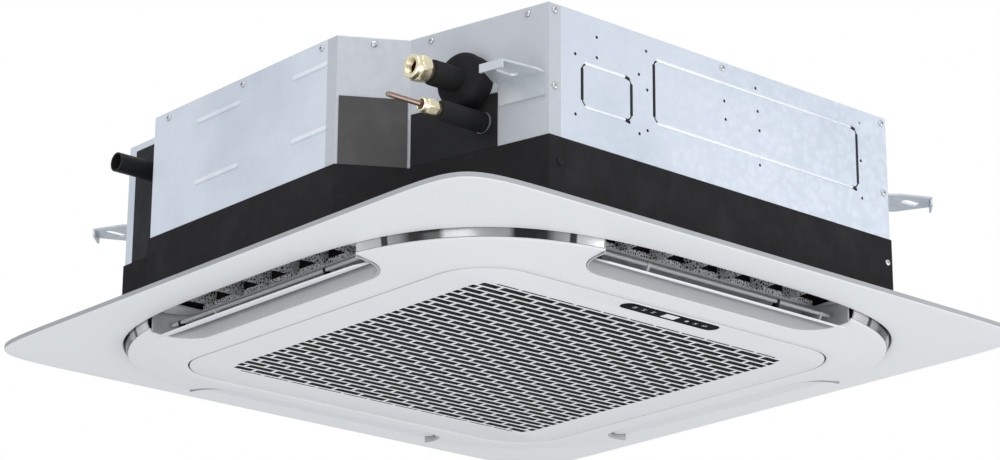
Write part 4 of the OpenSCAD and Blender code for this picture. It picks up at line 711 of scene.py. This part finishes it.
def louver_shaft(k):
    """The pivot shaft, with chamfered ends."""
    points = [turned((x, -PIVOT_OUT + r * math.cos(a), PIVOT_Z + r * math.sin(a)), k)
              for x, r in SHAFT_ENDS for a in circle(SHAFT_SIDES)]
    faces = ring_faces(SHAFT_SIDES, len(SHAFT_ENDS), closed_rings=False)
    faces += caps(0, (len(SHAFT_ENDS) - 1) * SHAFT_SIDES, SHAFT_SIDES)
    return piece(f"louver_shaft_{SIDES[k]}", points, faces, SHAFT_GREY, f"louver_{SIDES[k]}")


def louver_clips(k, name, places, material):
    """Clips that hold the blade under its shaft."""
    points, faces = [], []
    n = len(CLIP_OUTLINE)
    for x in places:
        first = len(points)
        points += [opened((x + dx, -PIVOT_OUT + dy, PIVOT_Z + dz), k)
                   for dx in (-CLIP_HALF_W, CLIP_HALF_W) for dy, dz in CLIP_OUTLINE]
        faces += band(first, first + n, n) + caps(first, first + n, n)
    return piece(f"louver_{name}_{SIDES[k]}", points, faces, material, f"louver_{SIDES[k]}", bevel=0.3)


for k in range(4):
    blade = louver_blade(k)
    louver_shaft(k)
    louver_clips(k, "clips", CLIP_PLACES, BLACK)
    louver_clips(k, "saddles", SADDLE_PLACES, SHAFT_GREY)
    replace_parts(blade, f"{SIDES[k]}_louver")


# Intake grille

GRILLE_HALF = 306.0
GRILLE_R = 71.0
SLOT_PITCH = 43.6
ROW_PITCH = 14.1
SLOT_LEN = 39.6
SLOT_W = 11.0
FIELD_HALF = 252.0
FIELD_R = 20.0
BAR_H = 6.0
SKIN_H = 0.5
ROWS_OUT, COLUMNS_OUT = 18, 7
FIELD_EDGE = FIELD_HALF + 2.0
SLOT_LEAST = 4.0
SLOT_STEPS = 3
SLOT_RIM = ((0.35, 1.9, 0.0), (0.10, 1.7, 0.10), (0.0, 1.6, 0.3), (0.0, 1.6, SKIN_H))
RADIUS_SHARE = 2.01
RING_STEPS = 16


def rounded_box(x0, x1, y0, y1, r, steps):
    """Points of a rectangle with rounded corners, anticlockwise."""
    return [Vector((x, y)) + polar(r, math.radians(90 * (k + i / steps)))
            for k, (x, y) in enumerate([(x1 - r, y1 - r), (x0 + r, y1 - r), (x0 + r, y0 + r), (x1 - r, y0 + r)])
            for i in range(steps + 1)]


def slot_outline(x0, x1, y0, y1, r):
    return rounded_box(x0, x1, y0, y1, min(r, (x1 - x0) / RADIUS_SHARE, (y1 - y0) / RADIUS_SHARE), SLOT_STEPS)


def grille_slots():
    """(x0, x1, y0, y1, cell) of every slot; cell is the rectangle of face round it."""
    edge = FIELD_EDGE
    for row in range(-ROWS_OUT, ROWS_OUT + 1):
        y0 = max(-FIELD_HALF, row * ROW_PITCH - SLOT_W / 2)
        y1 = min(FIELD_HALF, row * ROW_PITCH + SLOT_W / 2)
        past = max(0.0, max(abs(y0), abs(y1)) - (FIELD_HALF - FIELD_R))
        limit = FIELD_HALF - FIELD_R + math.sqrt(max(0.0, FIELD_R ** 2 - past ** 2))
        shift = 0.0 if row % 2 == 0 else SLOT_PITCH / 2
        spans = []
        for c in range(-COLUMNS_OUT, COLUMNS_OUT + 1):
            x0 = max(-limit, c * SLOT_PITCH + shift - SLOT_LEN / 2)
            x1 = min(limit, c * SLOT_PITCH + shift + SLOT_LEN / 2)
            if x1 - x0 > SLOT_LEAST:
                spans.append((x0, x1))
        low = -edge if row == -ROWS_OUT else (row - 0.5) * ROW_PITCH
        high = edge if row == ROWS_OUT else (row + 0.5) * ROW_PITCH
        for i, (x0, x1) in enumerate(spans):
            left = -edge if i == 0 else (spans[i - 1][1] + x0) / 2
            right = edge if i == len(spans) - 1 else (x1 + spans[i + 1][0]) / 2
            yield x0, x1, y0, y1, (left, right, low, high)


def grille_field():
    """Bars of the slotted field: every slot has its own softly rounded rim, and behind it near-black walls as painted
    shade.
    """
    points, faces, shade_walls, shade_wall_faces = [], [], [], []
    for x0, x1, y0, y1, (left, right, low, high) in grille_slots():
        first = len(points)
        points += [(x, y, -FACE_Z) for x, y in ((right, high), (left, high), (left, low), (right, low))]
        for grow, r, rise in SLOT_RIM:
            outline = slot_outline(x0 - grow, x1 + grow, y0 - grow, y1 + grow, r)
            points += [(p.x, p.y, -FACE_Z + rise) for p in outline]
        n = len(outline)
        start = len(shade_walls)
        shade_walls += [(p.x, p.y, -FACE_Z + rise) for rise in (SKIN_H, BAR_H) for p in outline]
        shade_wall_faces += band(start, start + n, n)
        rim, steps = first + 4, n // 4
        for q in range(4):
            start, after = rim + q * steps, (q + 1) % 4
            faces += [(first + q, start + i + 1, start + i) for i in range(steps - 1)]
            faces.append((first + q, first + after, rim + after * steps, start + steps - 1))
        for ring in range(len(SLOT_RIM) - 1):
            faces += band(rim + ring * n, rim + (ring + 1) * n, n)
    piece("grille_slot_shade", shade_walls, shade_wall_faces, SLOT_SHADE, "grille")
    return points, faces


DISPLAY_LEN = 158.0
DISPLAY_W = 22.0
DISPLAY_X = 8.5
DISPLAY_Y = -290.5
DISPLAY_GAP = 0.6
HINGE_X, HINGE_Y, HINGE_Z = 150.0, 293.0, -25.0
LUG_ROOM, LUG_STEP = 9.5, 0.1
PLATE_T = 2.5
FACE_EDGE = -0.9
GRILLE_WALL = ((-0.25, 0.25), (0.0, 0.9), (0.0, PLATE_T), (-3.0, PLATE_T), (-3.0, 9.0), (-5.5, 9.0), (-5.5, PLATE_T))
LOWERED = [RING_STEPS + i for i in (2, 3, 6, 7)]


def stadium(length, width, y):
    r, half = width / 2, (length - width) / 2
    return [Vector((x, y)) + polar(r, math.radians(start + 180 * i / RING_STEPS))
            for x, start in ((DISPLAY_X + half, -90), (DISPLAY_X - half, 90)) for i in range(RING_STEPS + 1)]


def grille_ring(grow):
    """The grille's outline, with points where its wall is cut away for the hinge lugs."""
    half = GRILLE_HALF + grow
    points = rounded_box(-half, half, -half, half, GRILLE_R + grow, RING_STEPS)
    cuts = [c * HINGE_X + e for c in (1, -1) for e in (LUG_ROOM, LUG_ROOM - LUG_STEP, LUG_STEP - LUG_ROOM, -LUG_ROOM)]
    return points[:RING_STEPS + 1] + [Vector((x, half)) for x in cuts] + points[RING_STEPS + 1:]


def wall_rise(i, rise):
    """Height of a wall point: no higher than the plate beside the hinge lugs."""
    return min(rise, PLATE_T) if i in LOWERED else rise


def triangles(loops):
    """Triangles of a flat face with holes, by the place of each point in all the loops."""
    return tessellate_polygon([[Vector((*p, 0.0)) for p in loop] for loop in loops])


def grille_face():
    """The grille's plate, open at the slots and the display."""
    points, faces = grille_field()
    outer = grille_ring(FACE_EDGE)
    window = stadium(DISPLAY_LEN + DISPLAY_GAP, DISPLAY_W + DISPLAY_GAP, DISPLAY_Y)
    edge = FIELD_EDGE
    field = [Vector(p) for p in ((-edge, -edge), (edge, -edge), (edge, edge), (-edge, edge))]
    first, n, w = len(points), len(outer), len(window)
    points += [(p.x, p.y, -FACE_Z) for p in outer + window + field]
    faces += [tuple(first + i for i in t) for t in triangles([outer, window, field])]
    rings = [first]
    for grow, rise in GRILLE_WALL:
        rings.append(len(points))
        points += [(p.x, p.y, -FACE_Z + wall_rise(i, rise)) for i, p in enumerate(grille_ring(grow))]
    for a, b in zip(rings, rings[1:]):
        faces += band(a, b, n)
    back = len(points)
    points += [(p.x, p.y, -FACE_Z + PLATE_T) for p in window + field]
    faces += band(first + n, back, w)
    inner = grille_ring(GRILLE_WALL[-1][0])
    where = [rings[-1] + i for i in range(n)] + [back + i for i in range(w + len(field))]
    faces += [tuple(where[i] for i in t) for t in triangles([inner, window, field])]
    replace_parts(piece("grille_face", points, faces, WHITE, "grille", smooth=40), "intake_grille")


grille_face()


KNUCKLE_PROFILE = ((2.06, 0.2), (4.2, 0.2), (4.4, 0.6), (4.4, 5.4), (4.2, 5.8), (2.06, 5.8))
KNUCKLE_HALF_W, KNUCKLE_SIDES = 3.0, 32
STRIKER_OUTLINE = ((-1.5, -29.0), (1.5, -29.0), (1.5, -18.6), (0.9, -17.2), (-0.9, -17.2), (-1.5, -18.6))
STRIKER_X, STRIKER_Y, STRIKER_HALF_W = 190.0, -302.8, 3.0


def hinge_knuckles():
    """Round ears of the grille, bored for the hinge pins."""
    points, faces = [], []
    for side in (-1, 1):
        first = len(points)
        points += [(side * HINGE_X - KNUCKLE_HALF_W + d, HINGE_Y + r * math.cos(a), HINGE_Z + r * math.sin(a))
                   for r, d in KNUCKLE_PROFILE for a in circle(KNUCKLE_SIDES)]
        faces += [tuple(first + i for i in f) for f in ring_faces(KNUCKLE_SIDES, len(KNUCKLE_PROFILE))]
    piece("hinge_knuckles", points, faces, WHITE, "grille", smooth=35)


def strikers():
    """Tongues that the two catches hold."""
    points, faces = [], []
    n = len(STRIKER_OUTLINE)
    for side in (-1, 1):
        first = len(points)
        points += [(side * STRIKER_X + x, STRIKER_Y + y, z)
                   for x in (-STRIKER_HALF_W, STRIKER_HALF_W) for y, z in STRIKER_OUTLINE]
        faces += band(first, first + n, n) + caps(first, first + n, n)
    piece("catch_strikers", points, faces, WHITE, "grille", bevel=0.25)


hinge_knuckles()
strikers()


# Display window with plain symbols behind it

SYMBOL_Z, SYMBOL_T = -FACE_Z - 0.05, 0.12
DISC_SIDES = 20
LINES_X, LINE_GAP, LINE_LEN, LINE_W = (-58.0, -43.0, -28.0), 2.2, 5.4, 1.0
DISCS = ((28.0, 2.8), (43.0, 1.8))
BARS = ((43.0, 7.4, 0.9, 45.0), (43.0, 7.4, 0.9, -45.0), (58.0, 1.1, 6.4, 0.0), (61.0, 1.1, 4.2, 0.0),
        (55.0, 1.1, 4.2, 0.0))
RECEIVER_LEN, RECEIVER_W = 22.0, 13.0


def flat_symbol(name, outlines, material):
    points, faces = [], []
    for outline in outlines:
        n, first = len(outline), len(points)
        points += [(DISPLAY_X + x, DISPLAY_Y + y, z) for z in (SYMBOL_Z, SYMBOL_Z + SYMBOL_T) for x, y in outline]
        faces += caps(first, first + n, n) + band(first, first + n, n)
    piece(name, points, faces, material, "grille")


def bar(x, y, w, h, turn=0.0):
    c, s = math.cos(math.radians(turn)), math.sin(math.radians(turn))
    return [(x + a * c - b * s, y + a * s + b * c)
            for a, b in ((-w / 2, -h / 2), (w / 2, -h / 2), (w / 2, h / 2), (-w / 2, h / 2))]


def display():
    symbols = []
    for i, x in enumerate(LINES_X):
        symbols += [bar(x, LINE_GAP, LINE_LEN, LINE_W), bar(x, 0.0, LINE_LEN, LINE_W, 60 * i),
                    bar(x, -LINE_GAP, LINE_LEN, LINE_W)]
    symbols += [[(x + r * math.cos(a), r * math.sin(a)) for a in circle(DISC_SIDES)] for x, r in DISCS]
    symbols += [bar(x, 0.0, w, h, turn) for x, w, h, turn in BARS]
    flat_symbol("window_symbols", symbols, ICON)
    flat_symbol("window_receiver", [bar(0.0, 0.0, RECEIVER_LEN, RECEIVER_W)], RECEIVER)


display()


# Casing details

HALF = 420.0
CORNER_CUT = 157.0
NOTCH_FRONT, NOTCH_SIDE, NOTCH_IN, NOTCH_BACK = 116.0, 239.0, 74.0, 194.0
DRAIN_RECESS, DRAIN_SIDE = 40.0, 231.0
CASING_H = 250.0
CASING = [Vector(p) for p in (
    (-HALF + NOTCH_FRONT, -HALF), (HALF - CORNER_CUT, -HALF), (HALF, -HALF + CORNER_CUT),
    (HALF, HALF - CORNER_CUT), (HALF - CORNER_CUT, HALF), (-HALF + CORNER_CUT, HALF),
    (-HALF + DRAIN_RECESS, HALF - CORNER_CUT + DRAIN_RECESS), (-HALF + DRAIN_RECESS, HALF - DRAIN_SIDE),
    (-HALF, HALF - DRAIN_SIDE), (-HALF, -HALF + NOTCH_SIDE), (-HALF + NOTCH_IN, -HALF + NOTCH_BACK))]
FRONT, RIGHT, BACK, LEFT, PIPE_SIDE, PIPE_FACE = 0, 2, 4, 8, 9, 10


class Wall:
    """One side of the casing: gives points by distance along it, height, and distance out from it."""

    def __init__(self, index):
        self.start = CASING[index]
        run = CASING[(index + 1) % len(CASING)] - self.start
        self.length = run.length
        self.along = run.normalized()
        self.out = Vector((self.along.y, -self.along.x))

    def at(self, distance, z, out=0.0):
        p = self.start + self.along * distance + self.out * out
        return Vector((p.x, p.y, z))


SCREWS = [(FRONT, 0.015, 0.968), (FRONT, 0.49, 0.968), (FRONT, 0.985, 0.968), (FRONT, 0.015, 0.6),
          (FRONT, 0.985, 0.6), (LEFT, 0.08, 0.968), (LEFT, 0.5, 0.968), (LEFT, 0.92, 0.968),
          (PIPE_SIDE, 0.5, 0.968), (PIPE_FACE, 0.15, 0.968), (PIPE_FACE, 0.85, 0.968),
          (RIGHT, 0.03, 0.968), (RIGHT, 0.5, 0.968), (RIGHT, 0.97, 0.968), (BACK, 0.03, 0.968),
          (BACK, 0.5, 0.968), (BACK, 0.97, 0.968)]
PAN_SCREWS = [(FRONT, 0.025, 0.24), (FRONT, 0.985, 0.235), (BACK, 0.03, 0.24), (BACK, 0.97, 0.24)]
PAN_PROUD = 2.0
HEAD_SIDES = 24
HEAD_PROFILE = ((4.0, 0.05), (4.0, 0.7), (3.7, 1.4), (3.0, 1.9), (1.9, 2.15), (1.7, 2.2))
CROSS = ((0.45, 0.45), (0.45, 1.7), (-0.45, 1.7), (-0.45, 0.45), (-1.7, 0.45), (-1.7, -0.45),
         (-0.45, -0.45), (-0.45, -1.7), (0.45, -1.7), (0.45, -0.45), (1.7, -0.45), (1.7, 0.45))
CROSS_SHRINK = 0.98
CROSS_LEVELS = (2.2, 1.1)
SIDE_TURN, PLACE_TURN = 37.0, 530.0


def screw_heads(name, groups, material):
    """Pan heads with a cross recess, all in one piece; each stands turned its own way."""
    points, faces = [], []
    count, n = HEAD_SIDES, len(CROSS)
    for spots, proud in groups:
        for index, share, height in spots:
            wall = Wall(index)
            side, z = share * wall.length, height * CASING_H
            first = len(points)
            points += [wall.at(side + r * math.cos(a), z + r * math.sin(a), proud + d)
                       for r, d in HEAD_PROFILE for a in circle(count)]
            ring = first + (len(HEAD_PROFILE) - 1) * count
            for start in range(first, ring, count):
                faces += band(start, start + count, count)
            turn = math.radians(SIDE_TURN * index + PLACE_TURN * share)
            c, s = math.cos(turn), math.sin(turn)
            rim, deep = len(points), len(points) + n
            points += [wall.at(side + x * c - y * s, z + x * s + y * c, proud + level)
                       for level in CROSS_LEVELS for x, y in CROSS]
            faces += band(rim, deep, n) + [tuple(deep + i for i in range(n))]
            top = [polar(HEAD_PROFILE[-1][0], a) for a in circle(count)]
            recess = [(CROSS_SHRINK * (x * c - y * s), CROSS_SHRINK * (x * s + y * c)) for x, y in CROSS]
            where = [ring + i for i in range(count)] + [rim + i for i in range(n)]
            faces += [tuple(where[i] for i in t) for t in triangles([top, recess])]
    return piece(name, points, faces, material, "unit", smooth=40)


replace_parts(screw_heads("casing_screw_heads", ((SCREWS, 0.0), (PAN_SCREWS[1:], PAN_PROUD)), STEEL), "casing_screws")
screw_heads("pan_screw_head", ((PAN_SCREWS[:1], PAN_PROUD),), BLACK)

BEADS = [(0.245, 0.49, 0.88), (0.77, 0.955, 0.88), (0.245, 0.49, 0.56), (0.77, 0.955, 0.56)]
BEAD_W, BEAD_H = 7.0, 1.05
KNOCK_OUTS = [(0.157, 0.652, 79.0, 54.0), (0.596, 0.736, 350.0, 80.0)]
EDGE_W, EDGE_H = 3.6, 0.9
SLIT_W, SLIT_H = 4.4, 0.12
EDGE_IN, EDGE_START, EDGE_STOP = 0.6, 7.0, 12.0
SLIT_IN, SLIT_END, SLIT_START, SLIT_STOP, SLIT_DROP = 1.0, 9.0, 11.0, 5.0, 1.5
RIDGE_PROFILE = ((0.5, 0.0), (0.46, 0.3), (0.36, 0.72), (0.2, 0.95), (0.06, 1.0))
RIDGE_FOOT = 0.05
RIDGE_SIDES = 18


def ridges(name, index, runs, width, crest, material):
    """Long rounded ridges on one casing side; each run is a start and an end as (along, height)."""
    points, faces = [], []
    wall, n, half = Wall(index), RIDGE_SIDES, RIDGE_SIDES // 2
    for x0, z0, x1, z1 in runs:
        a, b = Vector((x0, z0)), Vector((x1, z1))
        start = math.degrees(math.atan2(z1 - z0, x1 - x0))
        first = len(points)
        for r, d in RIDGE_PROFILE:
            for end, turn in ((b, start - 90), (a, start + 90)):
                for i in range(half):
                    p = end + polar(r * width, math.radians(turn + 180 * i / (half - 1)))
                    points.append(wall.at(p.x, p.y, RIDGE_FOOT + d * crest))
        last = first + (len(RIDGE_PROFILE) - 1) * n
        for ring in range(first, last, n):
            faces += band(ring, ring + n, n)
        faces.append(tuple(last + i for i in range(n)))
    piece(name, points, faces, material, "unit", smooth=60)


def pressed_details():
    """Rolled crests on the plain walls of the casing and the bent edges round the knock-outs in a pale sheet, as
    painted highlight, and near-black strips on the slits, as painted shade.
    """
    for name, index in (("left", LEFT), ("right", RIGHT), ("back", BACK)):
        length, inset = Wall(index).length, BEAD_W / 2
        ridges(f"beads_{name}", index, [(s * length + inset, h * CASING_H, e * length - inset, h * CASING_H)
                                        for s, e, h in BEADS], BEAD_W, BEAD_H, PRESSED_HIGHLIGHT)
    length = Wall(FRONT).length
    rims, slots = [], []
    for x, z, w, h in KNOCK_OUTS:
        x, z = x * length, z * CASING_H
        for side in (-1, 1):
            level, upright = z + side * (h / 2 - EDGE_IN), x + side * (w / 2 - SLIT_IN)
            rims.append((x - w / 2 + EDGE_START, level, x + w / 2 - EDGE_STOP, level))
            slots.append((x + w / 2 - SLIT_START, level, x + w / 2 - SLIT_STOP, level - SLIT_DROP))
            slots.append((upright, z - h / 2 + SLIT_END, upright, z + h / 2 - SLIT_END))
    ridges("knock_out_rims", FRONT, rims, EDGE_W, EDGE_H, PRESSED_HIGHLIGHT)
    # Near-black strips over the slits: painted shade.
    ridges("knock_out_slit_shade", FRONT, slots, SLIT_W, SLIT_H, BLACK)


pressed_details()


# Pipes

GAS_Y, GAS_Z = -312.0, 174.0
LIQUID_Y, LIQUID_Z = -330.0, 123.0
PIPE_END = -416.0
NUT_LEN = 28.0
GAS_D, GAS_ACROSS = 15.88, 29.0
LIQUID_D, LIQUID_ACROSS = 9.52, 17.0
THREADS, THREAD_PITCH, THREAD_DEPTH = 5, 1.3, 0.5
LATHE_SIDES, NUT_SIDES = 72, 96
SLEEVES = (("gas_sleeve", GAS_Y, GAS_Z, 15.0, 8.2), ("liquid_sleeve", LIQUID_Y, LIQUID_Z, 12.0, 5.0))
SLEEVE_GAP = 1.5
GROMMET = ((9.0, 0.3), (33.0, 0.3), (33.0, 17.5), (32.3, 20.4), (30.4, 22.6), (27.6, 23.8), (9.0, 24.1))


def closed_lathe(name, profile, at, along, material, count=LATHE_SIDES, smooth=35.0):
    """Turns a closed loop of (radius, distance) pairs; a radius may depend on the angle."""
    along = Vector(along).normalized()
    side = along.orthogonal().normalized()
    other = along.cross(side)
    points = [Vector(at) + along * d + (side * math.cos(a) + other * math.sin(a)) * (r(a) if callable(r) else r)
              for r, d in profile for a in circle(count)]
    return piece(name, points, ring_faces(count, len(profile)), material, "unit", smooth)


def hexagon(across):
    """Radius of a hexagon by the angle, as a function."""
    def radius(a):
        turn = (a + math.pi / 6) % (math.pi / 3) - math.pi / 6
        return across / 2 / math.cos(turn)
    return radius


def flare_nut(name, node_name, across, pipe_d, y, z):
    """A nut with a round collar, hexagon, tapered neck and inner thread."""
    flat = hexagon(across)
    collar, corner = across / 2, across / 2 / math.cos(math.pi / 6)
    bore, mouth = pipe_d / 2 + 0.05, pipe_d / 2 + 1.6

    def limited(limit):
        return lambda a: min(flat(a), limit)

    profile = [(mouth, 0.0), (collar - 1.2, 0.0), (collar - 0.3, 0.9), (collar - 0.3, 6.0),
               (limited(collar - 0.2), 6.8), (limited(collar + 0.6), 7.4), (limited((collar + corner) / 2), 8.2),
               (limited(corner), 9.6), (limited(corner), 18.4), (limited((collar + corner) / 2), 19.8),
               (limited(collar + 0.6), 20.6), (collar - 0.4, 21.2), (collar - 1.0, 22.2), (collar * 0.80, 25.0),
               (collar * 0.74, 27.2), (collar * 0.70, NUT_LEN), (bore, NUT_LEN), (bore, 9.0), (mouth, 7.0)]
    for i in range(THREADS, 0, -1):
        d = i * THREAD_PITCH
        profile += [(mouth, d), (mouth - THREAD_DEPTH, d - THREAD_PITCH / 2)]
    made = closed_lathe(name, profile, (PIPE_END, y, z), (1, 0, 0), BRASS_WITH_SHEEN, NUT_SIDES, smooth=28)
    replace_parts(made, node_name)


flare_nut("gas_flare_nut", "gas_nut", GAS_ACROSS, GAS_D, GAS_Y, GAS_Z)
flare_nut("liquid_flare_nut", "liquid_nut", LIQUID_ACROSS, LIQUID_D, LIQUID_Y, LIQUID_Z)


def sleeves():
    """Foam sleeves with soft ends, and the thick grommet where the gas pipe goes in."""
    start, foot = CASING[PIPE_FACE], CASING[0]
    wall = Wall(PIPE_FACE)

    def face_x(y):
        return start.x + (foot.x - start.x) * (y - start.y) / (foot.y - start.y)

    for name, y, z, r, bore in SLEEVES:
        length = face_x(y) - PIPE_END - NUT_LEN - SLEEVE_GAP
        closed_lathe(name, [(bore, 0.3), (r - 2.2, 0.3), (r - 0.9, 0.8), (r - 0.2, 2.0), (r, 4.0), (r, length),
                            (bore, length)], (PIPE_END + NUT_LEN, y, z), (1, 0, 0), PIPE_FOAM)
    made = closed_lathe("gas_grommet", GROMMET, (face_x(GAS_Y), GAS_Y, GAS_Z), (*wall.out, 0.0), PIPE_FOAM)
    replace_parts(made, "pipe_insulation")


sleeves()


# Camera and light

CAMERA_AT = Vector((-2337.483, -2673.545, -1031.698))
CAMERA_TURN = (0.7163255607, 0.3208835411, 0.0055333931)
FOCAL_PX = 2903.685
IMAGE_W = 1000.0
SENSOR_W = 36.0
CLIP_END = 100.0
SKY, SKY_STRENGTH = (0.93, 0.95, 1.0, 1.0), 0.75
FLOOR_Z, FLOOR_HALF = -5.0, 45.0
LAMPS = (("below_left", (-2.6, -1.2, -1.5), (0.0, 0.0, -0.2), 1.6, 21.0),
         ("below_right", (1.4, -2.8, -1.4), (0.0, 0.0, -0.1), 1.6, 29.0),
         ("above", (-1.5, -2.0, 2.2), (0.0, 0.0, 0.0), 2.5, 38.0),
         ("side_right", (2.6, -2.4, 0.5), (0.4, -0.4, -0.05), 1.8, 7.0))


def photo_camera():
    """The scene camera at the photograph's view."""
    yaw, pitch, roll = CAMERA_TURN
    ahead = Vector((math.sin(yaw) * math.cos(pitch), math.cos(yaw) * math.cos(pitch), math.sin(pitch)))
    right = Vector((math.cos(yaw), -math.sin(yaw), 0.0))
    up = right.cross(ahead)
    right, up = (math.cos(roll) * right + math.sin(roll) * up, -math.sin(roll) * right + math.cos(roll) * up)
    data = bpy.data.cameras.new("photo_view")
    data.sensor_width = SENSOR_W
    data.lens = FOCAL_PX / IMAGE_W * SENSOR_W
    data.clip_end = CLIP_END
    made = linked("photo_view", data)
    turn = Matrix((right, up, -ahead)).transposed().to_4x4()
    made.matrix_world = Matrix.Translation(place(CAMERA_AT)) @ turn
    bpy.context.scene.camera = made


def lamp(name, at, towards, size, power):
    data = bpy.data.lights.new(name, "AREA")
    data.shape = "SQUARE"
    data.size = size
    data.energy = power
    made = linked(name, data)
    made.location = at
    made.rotation_euler = (Vector(towards) - Vector(at)).to_track_quat("-Z", "Y").to_euler()


def surroundings():
    """Sky light, white background, pale floor and four soft lamps."""
    world = bpy.data.worlds.new("studio")
    bpy.context.scene.world = world
    world.use_nodes = True
    tree = world.node_tree
    tree.nodes.clear()
    soft = node(tree, "ShaderNodeBackground", Color=SKY, Strength=SKY_STRENGTH)
    white = node(tree, "ShaderNodeBackground", Color=(1.0, 1.0, 1.0, 1.0), Strength=1.0)
    seen = tree.nodes.new("ShaderNodeLightPath")
    mix = tree.nodes.new("ShaderNodeMixShader")
    out = tree.nodes.new("ShaderNodeOutputWorld")
    tree.links.new(seen.outputs["Is Camera Ray"], mix.inputs["Fac"])
    tree.links.new(soft.outputs["Background"], mix.inputs[1])
    tree.links.new(white.outputs["Background"], mix.inputs[2])
    tree.links.new(mix.outputs["Shader"], out.inputs["Surface"])
    mesh = bpy.data.meshes.new("floor")
    corners = ((-1, -1), (1, -1), (1, 1), (-1, 1))
    mesh.from_pydata([(x * FLOOR_HALF, y * FLOOR_HALF, FLOOR_Z) for x, y in corners], [], [(0, 1, 2, 3)])
    floor = linked("floor", mesh)
    f = Finish("pale_floor", (0.86, 0.86, 0.86), 0.7)
    f.mottle((0.82, 0.82, 0.82), 2.0, 0.4, 0.8, 0.1, detail=2.0)
    mesh.materials.append(f.material)
    for settings in LAMPS:
        lamp(*settings)


photo_camera()
surroundings()
bpy.context.scene.view_settings.view_transform = "Standard"
